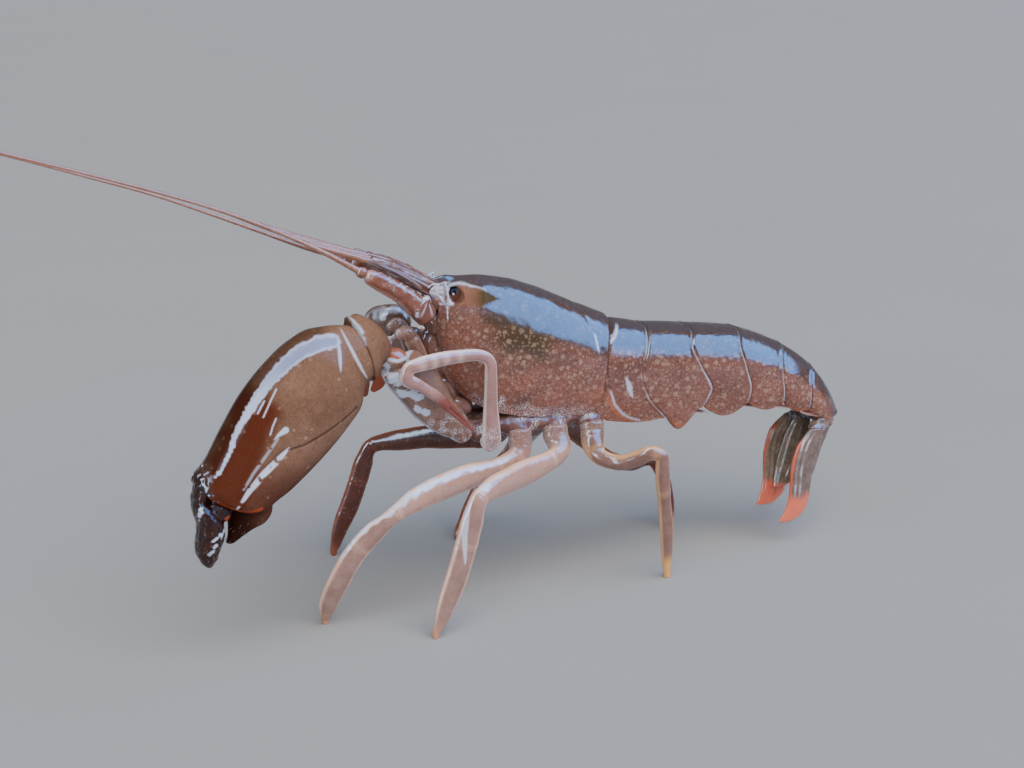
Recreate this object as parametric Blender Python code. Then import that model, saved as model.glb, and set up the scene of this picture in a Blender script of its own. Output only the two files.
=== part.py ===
"""A life-size snapping shrimp, standing on its walking legs with the great claw lowered in front.

Lengths are in millimetres until MM turns them into Blender's metres. The head points to -X, the
animal's left side to -Y, and the floor is at Z = 0. Every hard piece of the shell is its own object.
"""

import math

import bmesh
import bpy
import numpy as np
from mathutils import Vector

MM = 0.001
GAP = 0.3

# Driving sizes of the animal.
CARAPACE_SIDES = 32
CARAPACE_RINGS = 22
BELLY_HEIGHT = 0.78
PLEURON_WALL = 0.17
FOOT_FLAT = 0.6
FEELER_ROOT = 0.72
FEELER_SHAFT = 0.5
FEELER_TIP = 0.2

COLOURS = {
    "shell": ((0.20, 0.085, 0.055), 0.22),
    "claw": ((0.24, 0.10, 0.055), 0.2),
    "leg": ((0.55, 0.33, 0.27), 0.25),
    "tail": ((0.30, 0.12, 0.07), 0.25),
    "feeler": ((0.45, 0.20, 0.12), 0.35),
    "eye": ((0.02, 0.01, 0.01), 0.08),
}


def clear_scene():
    for obj in list(bpy.data.objects):
        bpy.data.objects.remove(obj)


def make_material(name):
    colour, roughness = COLOURS[name]
    material = bpy.data.materials.new(name)
    material.use_nodes = True
    shader = material.node_tree.nodes["Principled BSDF"]
    shader.inputs["Base Color"].default_value = (*colour, 1.0)
    shader.inputs["Roughness"].default_value = roughness
    shader.inputs["Metallic"].default_value = 0.0
    return material


def new_collection(name):
    made = bpy.data.collections.new(name)
    bpy.context.scene.collection.children.link(made)
    return made


clear_scene()
MATERIALS = {name: make_material(name) for name in COLOURS}
SHRIMP = new_collection("snapping_shrimp")
ROOT = bpy.data.objects.new("shrimp_root", None)
SHRIMP.objects.link(ROOT)


def slopes(places, values):
    """Slopes of a smooth curve through the values that never overshoots them."""
    steps = np.diff(places)[:, None]
    rise = np.diff(values, axis=0) / steps
    inner = np.zeros_like(values)
    inner[0], inner[-1] = rise[0], rise[-1]
    for i in range(1, len(places) - 1):
        before, after = rise[i - 1], rise[i]
        same_way = before * after > 0
        safe = np.where(same_way, before + after, 1.0)
        inner[i] = np.where(same_way, 2 * before * after / safe, 0.0)
    return inner


def smooth_rows(rows, places, wanted):
    """The rows, read at the wanted places along a smooth curve through them."""
    values = np.asarray(rows, float)
    slope = slopes(places, values)
    found = []
    for place in wanted:
        i = int(np.clip(np.searchsorted(places, place) - 1, 0, len(places) - 2))
        step = places[i + 1] - places[i]
        t = (place - places[i]) / step
        found.append(
            (2 * t**3 - 3 * t**2 + 1) * values[i]
            + (t**3 - 2 * t**2 + t) * step * slope[i]
            + (3 * t**2 - 2 * t**3) * values[i + 1]
            + (t**3 - t**2) * step * slope[i + 1]
        )
    return np.array(found)


def end_places(length, start_round, end_round, count):
    """Places along a form and the share of its full girth at each, with rounded ends."""
    bend = [math.radians(a) for a in (14, 38, 64)]
    places = [start_round * (1 - math.cos(a)) for a in bend] if start_round else []
    girths = [math.sin(a) for a in bend] if start_round else []
    first = start_round if start_round else 0.0
    last = length - end_round if end_round else length
    for i in range(count):
        places.append(first + (last - first) * i / (count - 1))
        girths.append(1.0)
    if end_round:
        places += [length - end_round * (1 - math.cos(a)) for a in reversed(bend)]
        girths += [math.sin(a) for a in reversed(bend)]
    return places, girths


def grow(name, loops, material, cap_cuts=()):
    """A closed body made by pushing one end face out from loop to loop.

    The cap cuts are pairs of places in a loop that are joined across both end faces.
    """
    form = bmesh.new()
    sides = len(loops[0])
    made = bmesh.ops.create_circle(form, cap_ends=True, segments=sides, radius=1.0)
    cap = made["verts"][0].link_faces[0]
    first = list(cap.verts)
    for vertex, place in zip(first, loops[0]):
        vertex.co = Vector(place) * MM
    for loop in loops[1:]:
        cap = bmesh.ops.extrude_discrete_faces(form, faces=[cap])["faces"][0]
        for vertex, place in zip(cap.verts, loop):
            vertex.co = Vector(place) * MM
    form.faces.new(reversed(first))
    for ends in (first, list(cap.verts)):
        for i, j in cap_cuts:
            shared = set(ends[i].link_faces) & set(ends[j].link_faces)
            bmesh.utils.face_split(shared.pop(), ends[i], ends[j])
    bmesh.ops.recalc_face_normals(form, faces=form.faces[:])
    mesh = bpy.data.meshes.new(name)
    form.to_mesh(mesh)
    form.free()
    mesh.shade_smooth()
    mesh.set_sharp_from_angle(angle=math.radians(50))
    mesh.materials.append(MATERIALS[material])
    obj = bpy.data.objects.new(name, mesh)
    SHRIMP.objects.link(obj)
    obj.parent = ROOT
    return obj


def reaches(points):
    """How far along a line of points each of them lies."""
    steps = np.linalg.norm(np.diff(np.asarray(points, float), axis=0), axis=1)
    return np.concatenate([[0.0], np.cumsum(steps)])


def limb(name, stations, material, side=(0, 1, 0), sides=8, rings=8, start_round=0.0, end_round=0.0):
    """A bent limb through stations of x, y, z, breadth and thickness.

    The thickness lies along side, and the breadth across both side and the limb's own run.
    """
    rows = np.array(stations, float)
    places = reaches(rows[:, :3])
    wanted, girths = end_places(places[-1], start_round, end_round, rings)
    path = smooth_rows(rows, places, wanted)
    ahead = smooth_rows(rows[:, :3], places, np.clip(np.array(wanted) + 0.05, 0, places[-1]))
    behind = smooth_rows(rows[:, :3], places, np.clip(np.array(wanted) - 0.05, 0, places[-1]))
    loops = []
    for row, front, back, girth in zip(path, ahead, behind, girths):
        run = Vector(front - back).normalized()
        breadth_way = run.cross(Vector(side)).normalized()
        thick_way = breadth_way.cross(run).normalized()
        half = breadth_way * (row[3] * girth / 2), thick_way * (row[4] * girth / 2)
        loops.append(oval(Vector(row[:3]), *half, sides))
    return grow(name, loops, material)


def oval(centre, half_breadth, half_thick, sides):
    turns = [2 * math.pi * (i + 0.5) / sides for i in range(sides)]
    return [centre + half_breadth * math.cos(t) + half_thick * math.sin(t) for t in turns]


def blade(name, rows, material, sides=12, rings=9, start_round=0.0, end_round=0.0):
    """A flattened form through rows of one edge point, the other edge point and thickness."""
    table = np.array(rows, float)
    places = reaches((table[:, :3] + table[:, 3:6]) / 2)
    wanted, girths = end_places(places[-1], start_round, end_round, rings)
    path = smooth_rows(table, places, wanted)
    middles = (path[:, :3] + path[:, 3:6]) / 2
    loops = []
    for i, (row, girth) in enumerate(zip(path, girths)):
        run = Vector(middles[min(i + 1, len(path) - 1)] - middles[max(i - 1, 0)])
        half_breadth = Vector(row[:3] - row[3:6]) / 2
        thick_way = run.cross(half_breadth).normalized()
        half = half_breadth * girth, thick_way * (row[6] * girth / 2)
        loops.append(oval(Vector(middles[i]), *half, sides))
    return grow(name, loops, material)


def side_rows(rows):
    """Rows for a blade from its two edges in side view, its middle's y and its thickness."""
    return [(ux, y, uz, lx, y, lz, thick) for ux, uz, lx, lz, y, thick in rows]


def fuse(name, pieces, material):
    """The pieces joined by one Boolean union, with only the largest closed surface kept."""
    helper = new_collection(name + "_pieces")
    first, rest = pieces[0], pieces[1:]
    for piece in rest:
        for owner in list(piece.users_collection):
            owner.objects.unlink(piece)
        helper.objects.link(piece)
    union = first.modifiers.new("join", "BOOLEAN")
    union.operation = "UNION"
    union.operand_type = "COLLECTION"
    union.collection = helper
    union.solver = "EXACT"
    finish_boolean(first, name, material)
    for piece in rest:
        bpy.data.objects.remove(piece)
    bpy.data.collections.remove(helper)
    return first


def finish_boolean(obj, name, material):
    """Applies the object's modifiers and keeps its largest connected surface."""
    bpy.context.view_layer.update()
    graph = bpy.context.evaluated_depsgraph_get()
    mesh = bpy.data.meshes.new_from_object(obj.evaluated_get(graph))
    obj.modifiers.clear()
    obj.data = mesh
    obj.name = name
    mesh.name = name
    form = bmesh.new()
    form.from_mesh(mesh)
    groups = connected_groups(form)
    largest = max(groups, key=len)
    drop = [f for group in groups if group is not largest for f in group]
    bmesh.ops.delete(form, geom=drop, context="FACES")
    form.to_mesh(mesh)
    form.free()
    mesh.materials.clear()
    mesh.materials.append(MATERIALS[material])
    for face in mesh.polygons:
        face.material_index = 0
    return obj


def connected_groups(form):
    seen, groups = set(), []
    for start in form.faces:
        if start in seen:
            continue
        group, stack = [], [start]
        seen.add(start)
        while stack:
            face = stack.pop()
            group.append(face)
            for edge in face.edges:
                for other in edge.link_faces:
                    if other not in seen:
                        seen.add(other)
                        stack.append(other)
        groups.append(group)
    return groups


def cut(obj, cutters, material):
    """Takes the cutters away from the object, then removes them."""
    for cutter in cutters:
        cutter.hide_render = True
        cutter.display_type = "WIRE"
        taken = obj.modifiers.new("cut", "BOOLEAN")
        taken.operation = "DIFFERENCE"
        taken.object = cutter
        taken.solver = "EXACT"
    finish_boolean(obj, obj.name, material)
    for cutter in cutters:
        bpy.data.objects.remove(cutter)
    return obj


def ball(name, centre, radii, material, segments=14, rings=8):
    """A ball stretched to three radii."""
    form = bmesh.new()
    bmesh.ops.create_uvsphere(form, u_segments=segments, v_segments=rings, radius=1.0)
    for vertex in form.verts:
        vertex.co = Vector([(c + r * p) * MM for c, r, p in zip(centre, radii, vertex.co)])
    mesh = bpy.data.meshes.new(name)
    form.to_mesh(mesh)
    form.free()
    mesh.shade_smooth()
    mesh.materials.append(MATERIALS[material])
    obj = bpy.data.objects.new(name, mesh)
    SHRIMP.objects.link(obj)
    obj.parent = ROOT
    return obj


# Head and trunk shield: back line x, z; lower line x, z; half width; forward lean at mid height.
CARAPACE_SECTIONS = [
    (-6.15, 28.15, -7.1, 23.6, 2.3, -0.35),
    (-5.3, 28.6, -6.9, 20.6, 3.2, -0.3),
    (-3.2, 28.65, -4.9, 17.4, 3.85, -0.2),
    (-0.2, 28.1, -1.4, 15.5, 4.3, 0.0),
    (2.8, 26.95, 1.8, 14.95, 4.45, 0.1),
    (5.8, 25.45, 4.8, 14.75, 4.3, 0.0),
    (8.85, 23.95, 7.2, 14.65, 3.95, -0.45),
]


def barrel_loop(top, low, half_width, lean, sides, upper_power=0.92, lower_power=0.62):
    """One cross-section of the trunk: round above, fuller sides and a flatter belly below."""
    loop = []
    for i in range(sides):
        turn = 2 * math.pi * (i + 0.5) / sides
        power = upper_power if math.cos(turn) > 0 else lower_power
        across = math.copysign(abs(math.sin(turn)) ** power, math.sin(turn)) * half_width
        drop = (1 - math.cos(turn)) / 2
        forward = lean * math.sin(math.pi * drop)
        x = top[0] + (low[0] - top[0]) * drop + forward
        z = top[1] + (low[1] - top[1]) * drop
        loop.append((x, across, z))
    return loop


def section_places(sections):
    """How far along the body each section's middle lies."""
    rows = np.array(sections, float)
    middles = np.stack([rows[:, 0] + rows[:, 2], rows[:, 1] + rows[:, 3]], 1) / 2
    return np.concatenate([[0.0], np.cumsum(np.linalg.norm(np.diff(middles, axis=0), axis=1))])


HOOD_CENTRE = (-4.2, 1.65, 27.2)
HOOD_RADII = (1.55, 1.25, 1.2)
ROSTRUM = [(-4.2, 0, 28.15, 1.2, 1.3), (-5.4, 0, 28.3, 0.9, 1.0), (-6.2, 0, 28.5, 0.35, 0.4)]
EYE_CENTRE = (-5.35, 1.75, 27.45)
EYE_RADIUS = 0.6


def mirrored(point, side):
    """The point on the animal's left where side is -1, or on its right where side is 1."""
    return (point[0], abs(point[1]) * side, point[2])


def build_carapace():
    rows = np.array(CARAPACE_SECTIONS, float)
    places = section_places(CARAPACE_SECTIONS)
    wanted = np.linspace(0, places[-1], CARAPACE_RINGS)
    loops = []
    for row in smooth_rows(rows, places, wanted):
        loops.append(barrel_loop(row[:2], row[2:4], row[4], row[5], CARAPACE_SIDES))
    rungs = [(i, CARAPACE_SIDES - 1 - i) for i in range(1, CARAPACE_SIDES // 2 - 1)]
    trunk = grow("carapace", loops, "shell", rungs)
    hoods = [ball("hood", mirrored(HOOD_CENTRE, s), HOOD_RADII, "shell") for s in (-1, 1)]
    beak = limb("beak", ROSTRUM, "shell", sides=8, rings=5)
    shield = fuse("carapace", [trunk, *hoods, beak], "shell")
    dish = [EYE_RADIUS + GAP] * 3
    pockets = [ball("eye_dish", mirrored(EYE_CENTRE, s), dish, "shell") for s in (-1, 1)]
    return cut(shield, pockets, "shell")


def build_eyes():
    for side, name in ((-1, "eye_left"), (1, "eye_right")):
        ball(name, mirrored(EYE_CENTRE, side), [EYE_RADIUS] * 3, "eye", segments=12)


# The edges where the rings of the tail meet, each at five heights from the back line to the lower
# edge, x and z, with the half width there.
RING_EDGES = [
    ([(9.2, 23.45), (8.1, 21.6), (7.7, 19.6), (7.8, 17.2), (7.6, 14.8)], 3.85),
    ([(12.4, 22.7), (11.75, 20.9), (10.95, 18.8), (11.6, 16.6), (13.5, 14.3)], 3.95),
    ([(16.75, 22.1), (16.2, 20.6), (16.9, 18.6), (17.8, 16.7), (17.2, 14.9)], 3.9),
    ([(21.5, 21.35), (21.0, 19.9), (21.3, 18.2), (21.8, 16.3), (21.7, 14.6)], 3.65),
    ([(26.1, 19.3), (25.35, 18.0), (25.2, 16.7), (25.4, 15.4), (25.5, 14.0)], 3.15),
    ([(29.25, 16.85), (28.5, 15.8), (28.3, 14.8), (28.3, 13.8), (28.2, 12.85)], 2.7),
    ([(31.95, 12.1), (31.3, 11.9), (30.6, 11.75), (30.0, 11.65), (29.5, 11.6)], 2.15),
]
# How far each ring's lower edge hangs between its two ends, where it hangs lowest, and the swell.
RING_HANG = [(0.3, 0.5), (1.3, 0.36), (1.0, 0.5), (0.6, 0.5), (0.4, 0.5), (0.0, 0.5)]
RING_SWELL = [0.06, 0.04, 0.06, 0.12, 0.12, 0.3]
RING_STEPS = 7
RING_GAP = 0.42


def arch_profile(outer=9, inner=3):
    """Across and drop, each as a share, round an arch whose side flaps hang below the belly."""
    widest, lowest = 0.5 * math.pi, 0.8 * math.pi
    right = []
    for i in range(outer):
        turn = lowest * (i + 0.5) / (outer - 0.5)
        power = 0.9 if turn < widest else 0.42
        right.append((math.sin(turn) ** power, (1 - math.cos(turn)) / (1 - math.cos(lowest))))
    edge = right[-1][0] - PLEURON_WALL
    right.append((edge, 0.985))
    for i in range(inner):
        share = (i + 1) / inner
        right.append(((edge - 0.05) * (1 - share * 0.86), BELLY_HEIGHT + 0.06 * (1 - share)))
    return right + [(-across, drop) for across, drop in reversed(right)]


def arch_cuts():
    """Cuts that split an arch's end face into level strips above and two side flaps below."""
    last = len(arch_profile()) - 1
    return [(i, last - i) for i in range(1, 7)] + [(6, 10), (last - 6, last - 10)]


def ring_loop(number, step):
    """One cross-section of a tail ring, step going from 0 at its front edge to 1 at its rear."""
    (front, front_width), (rear, rear_width) = RING_EDGES[number], RING_EDGES[number + 1]
    hang, lowest = RING_HANG[number]
    heights = np.linspace(0, 1, len(front))
    drops = [drop for _, drop in arch_profile()]
    front_line = smooth_rows(front, heights, drops)
    rear_line = smooth_rows(rear, heights, drops)
    swell = RING_SWELL[number] * math.sin(math.pi * step)
    sag = hang * math.sin(math.pi * step ** (math.log(0.5) / math.log(lowest)))
    width = front_width + (rear_width - front_width) * step + swell
    loop = []
    for (across, drop), first, last in zip(arch_profile(), front_line, rear_line):
        span = Vector(last - first)
        share = RING_GAP / 2 / span.length
        place = Vector(first) + span * (share + (1 - 2 * share) * step)
        up = Vector((-span.y, span.x)).normalized() * swell * (1 - 2 * min(drop, 0.5))
        low = sag * max(0.0, (drop - 0.5) / 0.5) ** 2
        loop.append((place.x + up.x, across * width, place.y + up.y - low))
    return loop


PADDLE_LENGTHS = [2.4, 2.6, 2.4, 2.0, 1.5]
PADDLE_OUT = 1.2


def paddle(number, side):
    """A swimming paddle rooted in the belly that lies back between the side flaps."""
    front, rear = RING_EDGES[number][0], RING_EDGES[number + 1][0]
    x = front[3][0] * 0.6 + rear[3][0] * 0.4
    belly = (front[3][1] + rear[3][1]) / 2 - 0.1
    y = PADDLE_OUT * side
    length = PADDLE_LENGTHS[number]
    stations = [
        (x, y, belly + 0.8, 0.9, 0.7),
        (x + 0.05, y, belly - 0.3, 1.0, 0.7),
        (x + length * 0.3, y, belly - 0.3 - length * 0.3, 1.4, 0.6),
        (x + length * 0.7, y, belly - 0.3 - length * 0.45, 0.8, 0.5),
    ]
    return limb("paddle", stations, "tail", side=(0.5, 0, 1), rings=6, end_round=0.3)


def build_tail_rings():
    for number in range(6):
        name = f"tail_ring_{number + 1}"
        loops = [ring_loop(number, step) for step in np.linspace(0, 1, RING_STEPS)]
        ring = grow(name, loops, "shell", arch_cuts())
        if number < 5:
            fuse(name, [ring, paddle(number, -1), paddle(number, 1)], "shell")


# The half-closed fan, given for the left side: for each plate one edge point, the other edge point
# and the thickness, from the root down.
TELSON = [
    (30.9, 1.15, 11.0, 30.9, -1.15, 11.0, 1.3),
    (30.0, 1.2, 8.9, 30.0, -1.2, 8.9, 1.1),
    (29.1, 1.0, 6.6, 29.1, -1.0, 6.6, 0.9),
    (28.2, 0.7, 4.4, 28.2, -0.7, 4.4, 0.7),
]
INNER_PLATE = [
    (29.5, 1.45, 10.6, 28.8, 1.95, 10.6, 0.7),
    (29.0, 1.45, 8.6, 27.8, 2.2, 8.4, 0.65),
    (28.4, 1.4, 6.4, 27.0, 2.2, 6.0, 0.6),
    (27.5, 1.25, 4.3, 26.4, 1.9, 3.9, 0.5),
]
OUTER_PLATE = [
    (29.6, 2.45, 11.1, 28.3, 2.75, 11.3, 0.9),
    (28.7, 2.85, 9.3, 26.6, 3.0, 9.5, 0.8),
    (28.3, 2.85, 7.0, 26.0, 3.05, 7.1, 0.65),
    (28.2, 2.6, 4.9, 25.9, 2.95, 4.8, 0.6),
    (27.9, 2.45, 3.4, 25.5, 2.75, 3.2, 0.55),
    (26.7, 2.45, 2.2, 24.9, 2.6, 2.2, 0.5),
]


def blade_on_side(rows, side):
    """The blade's rows turned over for the right side, or as they are for the left."""
    return [(ax, ay * side, az, bx, by * side, bz, thick) for ax, ay, az, bx, by, bz, thick in rows]


def build_fan():
    blade("telson", TELSON, "tail", start_round=0.3, end_round=0.4)
    for side, word in ((-1, "left"), (1, "right")):
        for name, rows in (("inner", INNER_PLATE), ("outer", OUTER_PLATE)):
            blade(f"tail_fan_{name}_{word}", blade_on_side(rows, side), "tail", rings=10,
                  start_round=0.2, end_round=0.3)


# Walking legs: the upper half runs from the hip to the knee, the lower half from there to the floor.
LEGS = {
    "leg3_left": dict(
        upper=[(-0.3, -2.9, 14.1, 2.1, 2.0), (-0.5, -3.3, 13.0, 2.0, 1.8), (-2.4, -4.0, 12.2, 1.7, 1.4),
               (-6.5, -5.2, 11.8, 2.4, 1.5), (-10.6, -6.3, 11.0, 2.2, 1.4), (-13.1, -7.0, 10.0, 1.5, 1.2)],
        lower=[(-13.5, -7.1, 9.75, 1.5, 1.1), (-15.0, -7.0, 8.65, 1.95, 1.2),
               (-16.7, -6.7, 6.8, 2.0, 1.15), (-18.0, -6.2, 4.5, 2.0, 1.1),
               (-18.9, -5.3, 2.2, 1.75, 1.0), (-19.15, -4.8, 1.0, 1.1, 0.9)],
        foot=(-19.2, -4.5)),
    "leg4_left": dict(
        upper=[(3.0, -2.9, 14.1, 2.3, 2.0), (3.2, -3.5, 13.1, 2.1, 1.9), (2.2, -4.6, 12.4, 1.8, 1.5),
               (-1.4, -7.0, 12.2, 2.4, 1.5), (-4.4, -9.2, 12.2, 2.2, 1.4), (-6.3, -10.5, 11.8, 1.6, 1.2)],
        lower=[(-6.65, -10.7, 11.2, 1.6, 1.1), (-7.2, -10.9, 9.8, 2.0, 1.2), (-7.8, -11.0, 8.0, 2.0, 1.15),
               (-8.7, -11.0, 5.4, 2.0, 1.1), (-9.9, -11.05, 2.6, 1.65, 1.0), (-10.55, -11.1, 1.1, 1.0, 0.85)],
        foot=(-10.9, -11.1)),
    "leg5_left": dict(
        upper=[(6.5, -2.9, 14.0, 2.2, 1.9), (6.3, -3.6, 13.0, 2.1, 1.9), (6.5, -4.3, 12.0, 1.6, 1.5),
               (7.9, -5.6, 11.5, 1.4, 1.4), (9.3, -6.9, 12.1, 1.5, 1.3), (10.3, -7.8, 12.75, 1.3, 1.1)],
        lower=[(11.2, -8.0, 12.3, 1.2, 1.1), (11.3, -7.8, 10.4, 1.35, 1.1), (11.6, -7.3, 8.0, 1.2, 1.05),
               (11.9, -6.9, 5.4, 1.3, 1.0), (12.1, -6.4, 2.8, 1.1, 0.95), (12.15, -6.2, 1.2, 0.8, 0.75)],
        foot=(12.2, -6.1)),
    "leg3_right": dict(
        upper=[(-0.3, 2.9, 14.1, 2.1, 2.0), (-0.5, 3.4, 12.9, 2.0, 1.8), (-2.2, 4.6, 12.0, 1.7, 1.4),
               (-5.3, 6.8, 12.0, 2.3, 1.5), (-8.6, 8.9, 11.5, 2.1, 1.4), (-11.1, 10.4, 10.85, 1.5, 1.2)],
        lower=[(-11.6, 10.5, 10.3, 1.5, 1.1), (-12.1, 10.7, 8.9, 1.9, 1.2), (-12.7, 10.8, 7.2, 1.9, 1.15),
               (-13.6, 11.0, 4.9, 1.9, 1.1), (-14.7, 11.2, 2.5, 1.5, 1.0), (-15.15, 11.3, 1.1, 1.0, 0.85)],
        foot=(-15.4, 11.3)),
    "leg4_right": dict(
        upper=[(3.0, 2.9, 14.1, 2.3, 2.0), (3.1, 3.7, 13.0, 2.1, 1.9), (3.3, 5.3, 11.9, 1.8, 1.5),
               (3.4, 8.3, 10.4, 2.4, 1.5), (3.3, 10.9, 8.7, 2.2, 1.4), (3.0, 12.5, 7.4, 1.6, 1.2)],
        lower=[(2.6, 12.95, 6.9, 1.4, 1.1), (1.2, 13.35, 5.4, 1.6, 1.2), (0.1, 13.4, 4.0, 1.5, 1.15),
               (-1.2, 12.6, 2.5, 1.5, 1.1), (-2.4, 11.4, 1.3, 1.1, 0.95), (-2.95, 10.9, 0.8, 0.85, 0.8)],
        foot=(-3.2, 10.6)),
    "leg5_right": dict(
        upper=[(6.5, 2.9, 14.0, 2.2, 1.9), (6.8, 3.5, 12.5, 2.1, 1.9), (8.4, 4.2, 10.4, 1.6, 1.5),
               (11.2, 5.3, 8.0, 1.4, 1.4), (13.8, 6.7, 6.8, 1.5, 1.3), (15.8, 7.8, 6.6, 1.3, 1.1)],
        lower=[(16.5, 7.9, 6.2, 1.2, 1.1), (17.1, 7.5, 5.1, 1.3, 1.1), (17.3, 6.9, 3.9, 1.2, 1.05),
               (17.2, 6.1, 2.7, 1.2, 1.0), (17.0, 5.4, 1.6, 1.0, 0.9), (16.85, 5.1, 0.9, 0.8, 0.75)],
        foot=(16.8, 5.0)),
}


def build_legs():
    for name, leg in LEGS.items():
        limb(f"{name}_upper", leg["upper"], "leg", rings=11, end_round=0.4)
        x, y = leg["foot"]
        toe = [(x, y, 0.4, FOOT_FLAT + 0.08, FOOT_FLAT + 0.08), (x, y, 0.0, FOOT_FLAT, FOOT_FLAT)]
        limb(f"{name}_lower", leg["lower"] + toe, "leg", rings=12, start_round=0.4)


# The second legs are slender, folded, and end in a small claw.
SECOND_LEGS = {
    "leg2_left": dict(
        upper=[(-3.5, -3.9, 14.5, 1.7, 1.3), (-3.5, -4.7, 14.0, 1.9, 1.4), (-3.6, -5.3, 15.2, 1.8, 1.3),
               (-3.65, -5.8, 18.6, 1.25, 1.05), (-3.65, -6.4, 22.0, 1.05, 0.95)],
        middle=[(-3.95, -6.45, 22.75, 1.0, 0.95), (-5.4, -6.8, 23.3, 1.05, 0.95),
                (-7.6, -7.2, 23.4, 1.2, 1.0), (-9.4, -7.65, 23.35, 1.3, 1.0),
                (-11.1, -7.95, 23.1, 1.1, 0.95)],
        claw=[(-11.4, -7.95, 22.2, 0.7, 0.9), (-10.35, -7.75, 21.4, 1.25, 1.0), (-8.8, -7.4, 20.2, 1.2, 0.95),
              (-7.2, -7.05, 18.5, 0.9, 0.8), (-5.4, -6.55, 16.4, 0.35, 0.35)]),
    "leg2_right": dict(
        upper=[(-3.5, 3.9, 14.5, 1.7, 1.3), (-3.5, 4.7, 14.0, 1.9, 1.4), (-3.7, 5.4, 15.1, 1.8, 1.3),
               (-3.8, 6.1, 18.2, 1.25, 1.05), (-3.8, 6.7, 21.3, 1.05, 0.95)],
        middle=[(-4.1, 6.9, 21.95, 1.0, 0.95), (-5.2, 7.2, 22.2, 1.05, 0.95), (-6.7, 7.5, 22.1, 1.2, 1.0),
                (-8.0, 7.7, 21.7, 1.3, 1.0), (-9.0, 7.8, 21.1, 1.1, 0.95)],
        claw=[(-9.1, 7.9, 20.45, 0.9, 0.9), (-8.3, 7.9, 19.4, 1.35, 1.0), (-7.1, 7.8, 18.0, 1.25, 0.95),
              (-5.9, 7.6, 16.4, 0.95, 0.8), (-4.4, 7.3, 14.4, 0.35, 0.35)]),
}


def build_second_legs():
    for name, leg in SECOND_LEGS.items():
        limb(f"{name}_upper", leg["upper"], "leg", rings=9, end_round=0.3)
        limb(f"{name}_middle", leg["middle"], "leg", rings=8, start_round=0.3, end_round=0.3)
        limb(f"{name}_claw", leg["claw"], "leg", rings=8, start_round=0.3)


# The great claw. Each row is one edge x, z; the other edge x, z; the middle's y; and thickness.
GREAT_MERUS = [
    (-4.7, 15.0, -5.9, 14.4, -2.7, 1.6),
    (-5.0, 16.3, -7.1, 15.3, -3.1, 2.0),
    (-5.7, 17.7, -8.6, 16.3, -3.8, 2.4),
    (-6.7, 19.2, -10.2, 17.9, -4.4, 2.7),
    (-7.5, 20.8, -11.4, 19.5, -5.0, 2.8),
    (-8.5, 22.6, -12.6, 21.2, -5.5, 2.8),
    (-9.9, 24.1, -13.2, 22.4, -6.0, 2.4),
]
GREAT_CARPUS = [
    (-12.2, 24.85, -13.3, 23.35, -6.0, 2.0),
    (-12.7, 25.9, -13.6, 23.2, -6.2, 2.7),
    (-13.7, 27.1, -13.9, 22.8, -6.5, 3.3),
    (-15.1, 27.95, -14.15, 22.3, -6.9, 3.8),
    (-16.05, 27.5, -14.35, 22.25, -7.1, 3.9),
]
GREAT_PALM = [
    (-16.75, 27.35, -14.85, 21.95, -7.35, 3.9),
    (-18.9, 27.3, -15.3, 20.4, -7.45, 5.2),
    (-20.9, 26.5, -16.4, 19.0, -7.6, 5.9),
    (-23.2, 24.7, -18.2, 17.1, -7.7, 6.2),
    (-25.35, 22.4, -20.1, 15.4, -7.8, 6.1),
    (-27.1, 19.8, -21.8, 14.0, -7.8, 5.8),
    (-28.6, 17.3, -23.2, 13.1, -7.8, 5.4),
    (-29.75, 15.6, -24.0, 12.4, -7.8, 4.9),
    (-28.9, 14.35, -25.0, 12.3, -7.8, 3.6),
]
GREAT_THUMB = [
    (-27.2, 14.6, -23.2, 13.9, -7.2, 3.2),
    (-27.1, 12.9, -23.3, 12.3, -7.1, 3.2),
    (-27.1, 11.7, -24.0, 11.2, -7.1, 2.8),
    (-27.2, 10.7, -25.5, 10.5, -7.3, 2.0),
    (-27.5, 9.9, -27.0, 9.7, -7.6, 0.7),
]
GREAT_FINGER = [
    (-29.95, 14.3, -28.9, 13.7, -8.2, 2.8),
    (-30.0, 13.4, -28.0, 12.9, -8.4, 3.4),
    (-29.8, 12.4, -27.6, 12.3, -8.5, 3.5),
    (-29.95, 11.2, -27.6, 11.2, -8.6, 3.2),
    (-30.1, 10.2, -27.9, 10.2, -8.5, 2.6),
    (-29.85, 9.2, -28.3, 9.2, -8.4, 1.8),
    (-29.2, 8.2, -28.8, 8.2, -8.2, 0.6),
]


def build_great_claw():
    blade("great_claw_merus", side_rows(GREAT_MERUS), "claw", end_round=0.4)
    blade("great_claw_carpus", side_rows(GREAT_CARPUS), "claw", sides=14, start_round=0.3)
    palm = blade("great_claw_palm", side_rows(GREAT_PALM), "claw", sides=20, rings=14)
    thumb = blade("thumb", side_rows(GREAT_THUMB), "claw", rings=7)
    fuse("great_claw_palm", [palm, thumb], "claw")
    blade("great_claw_finger", side_rows(GREAT_FINGER), "claw", sides=14)


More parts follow.
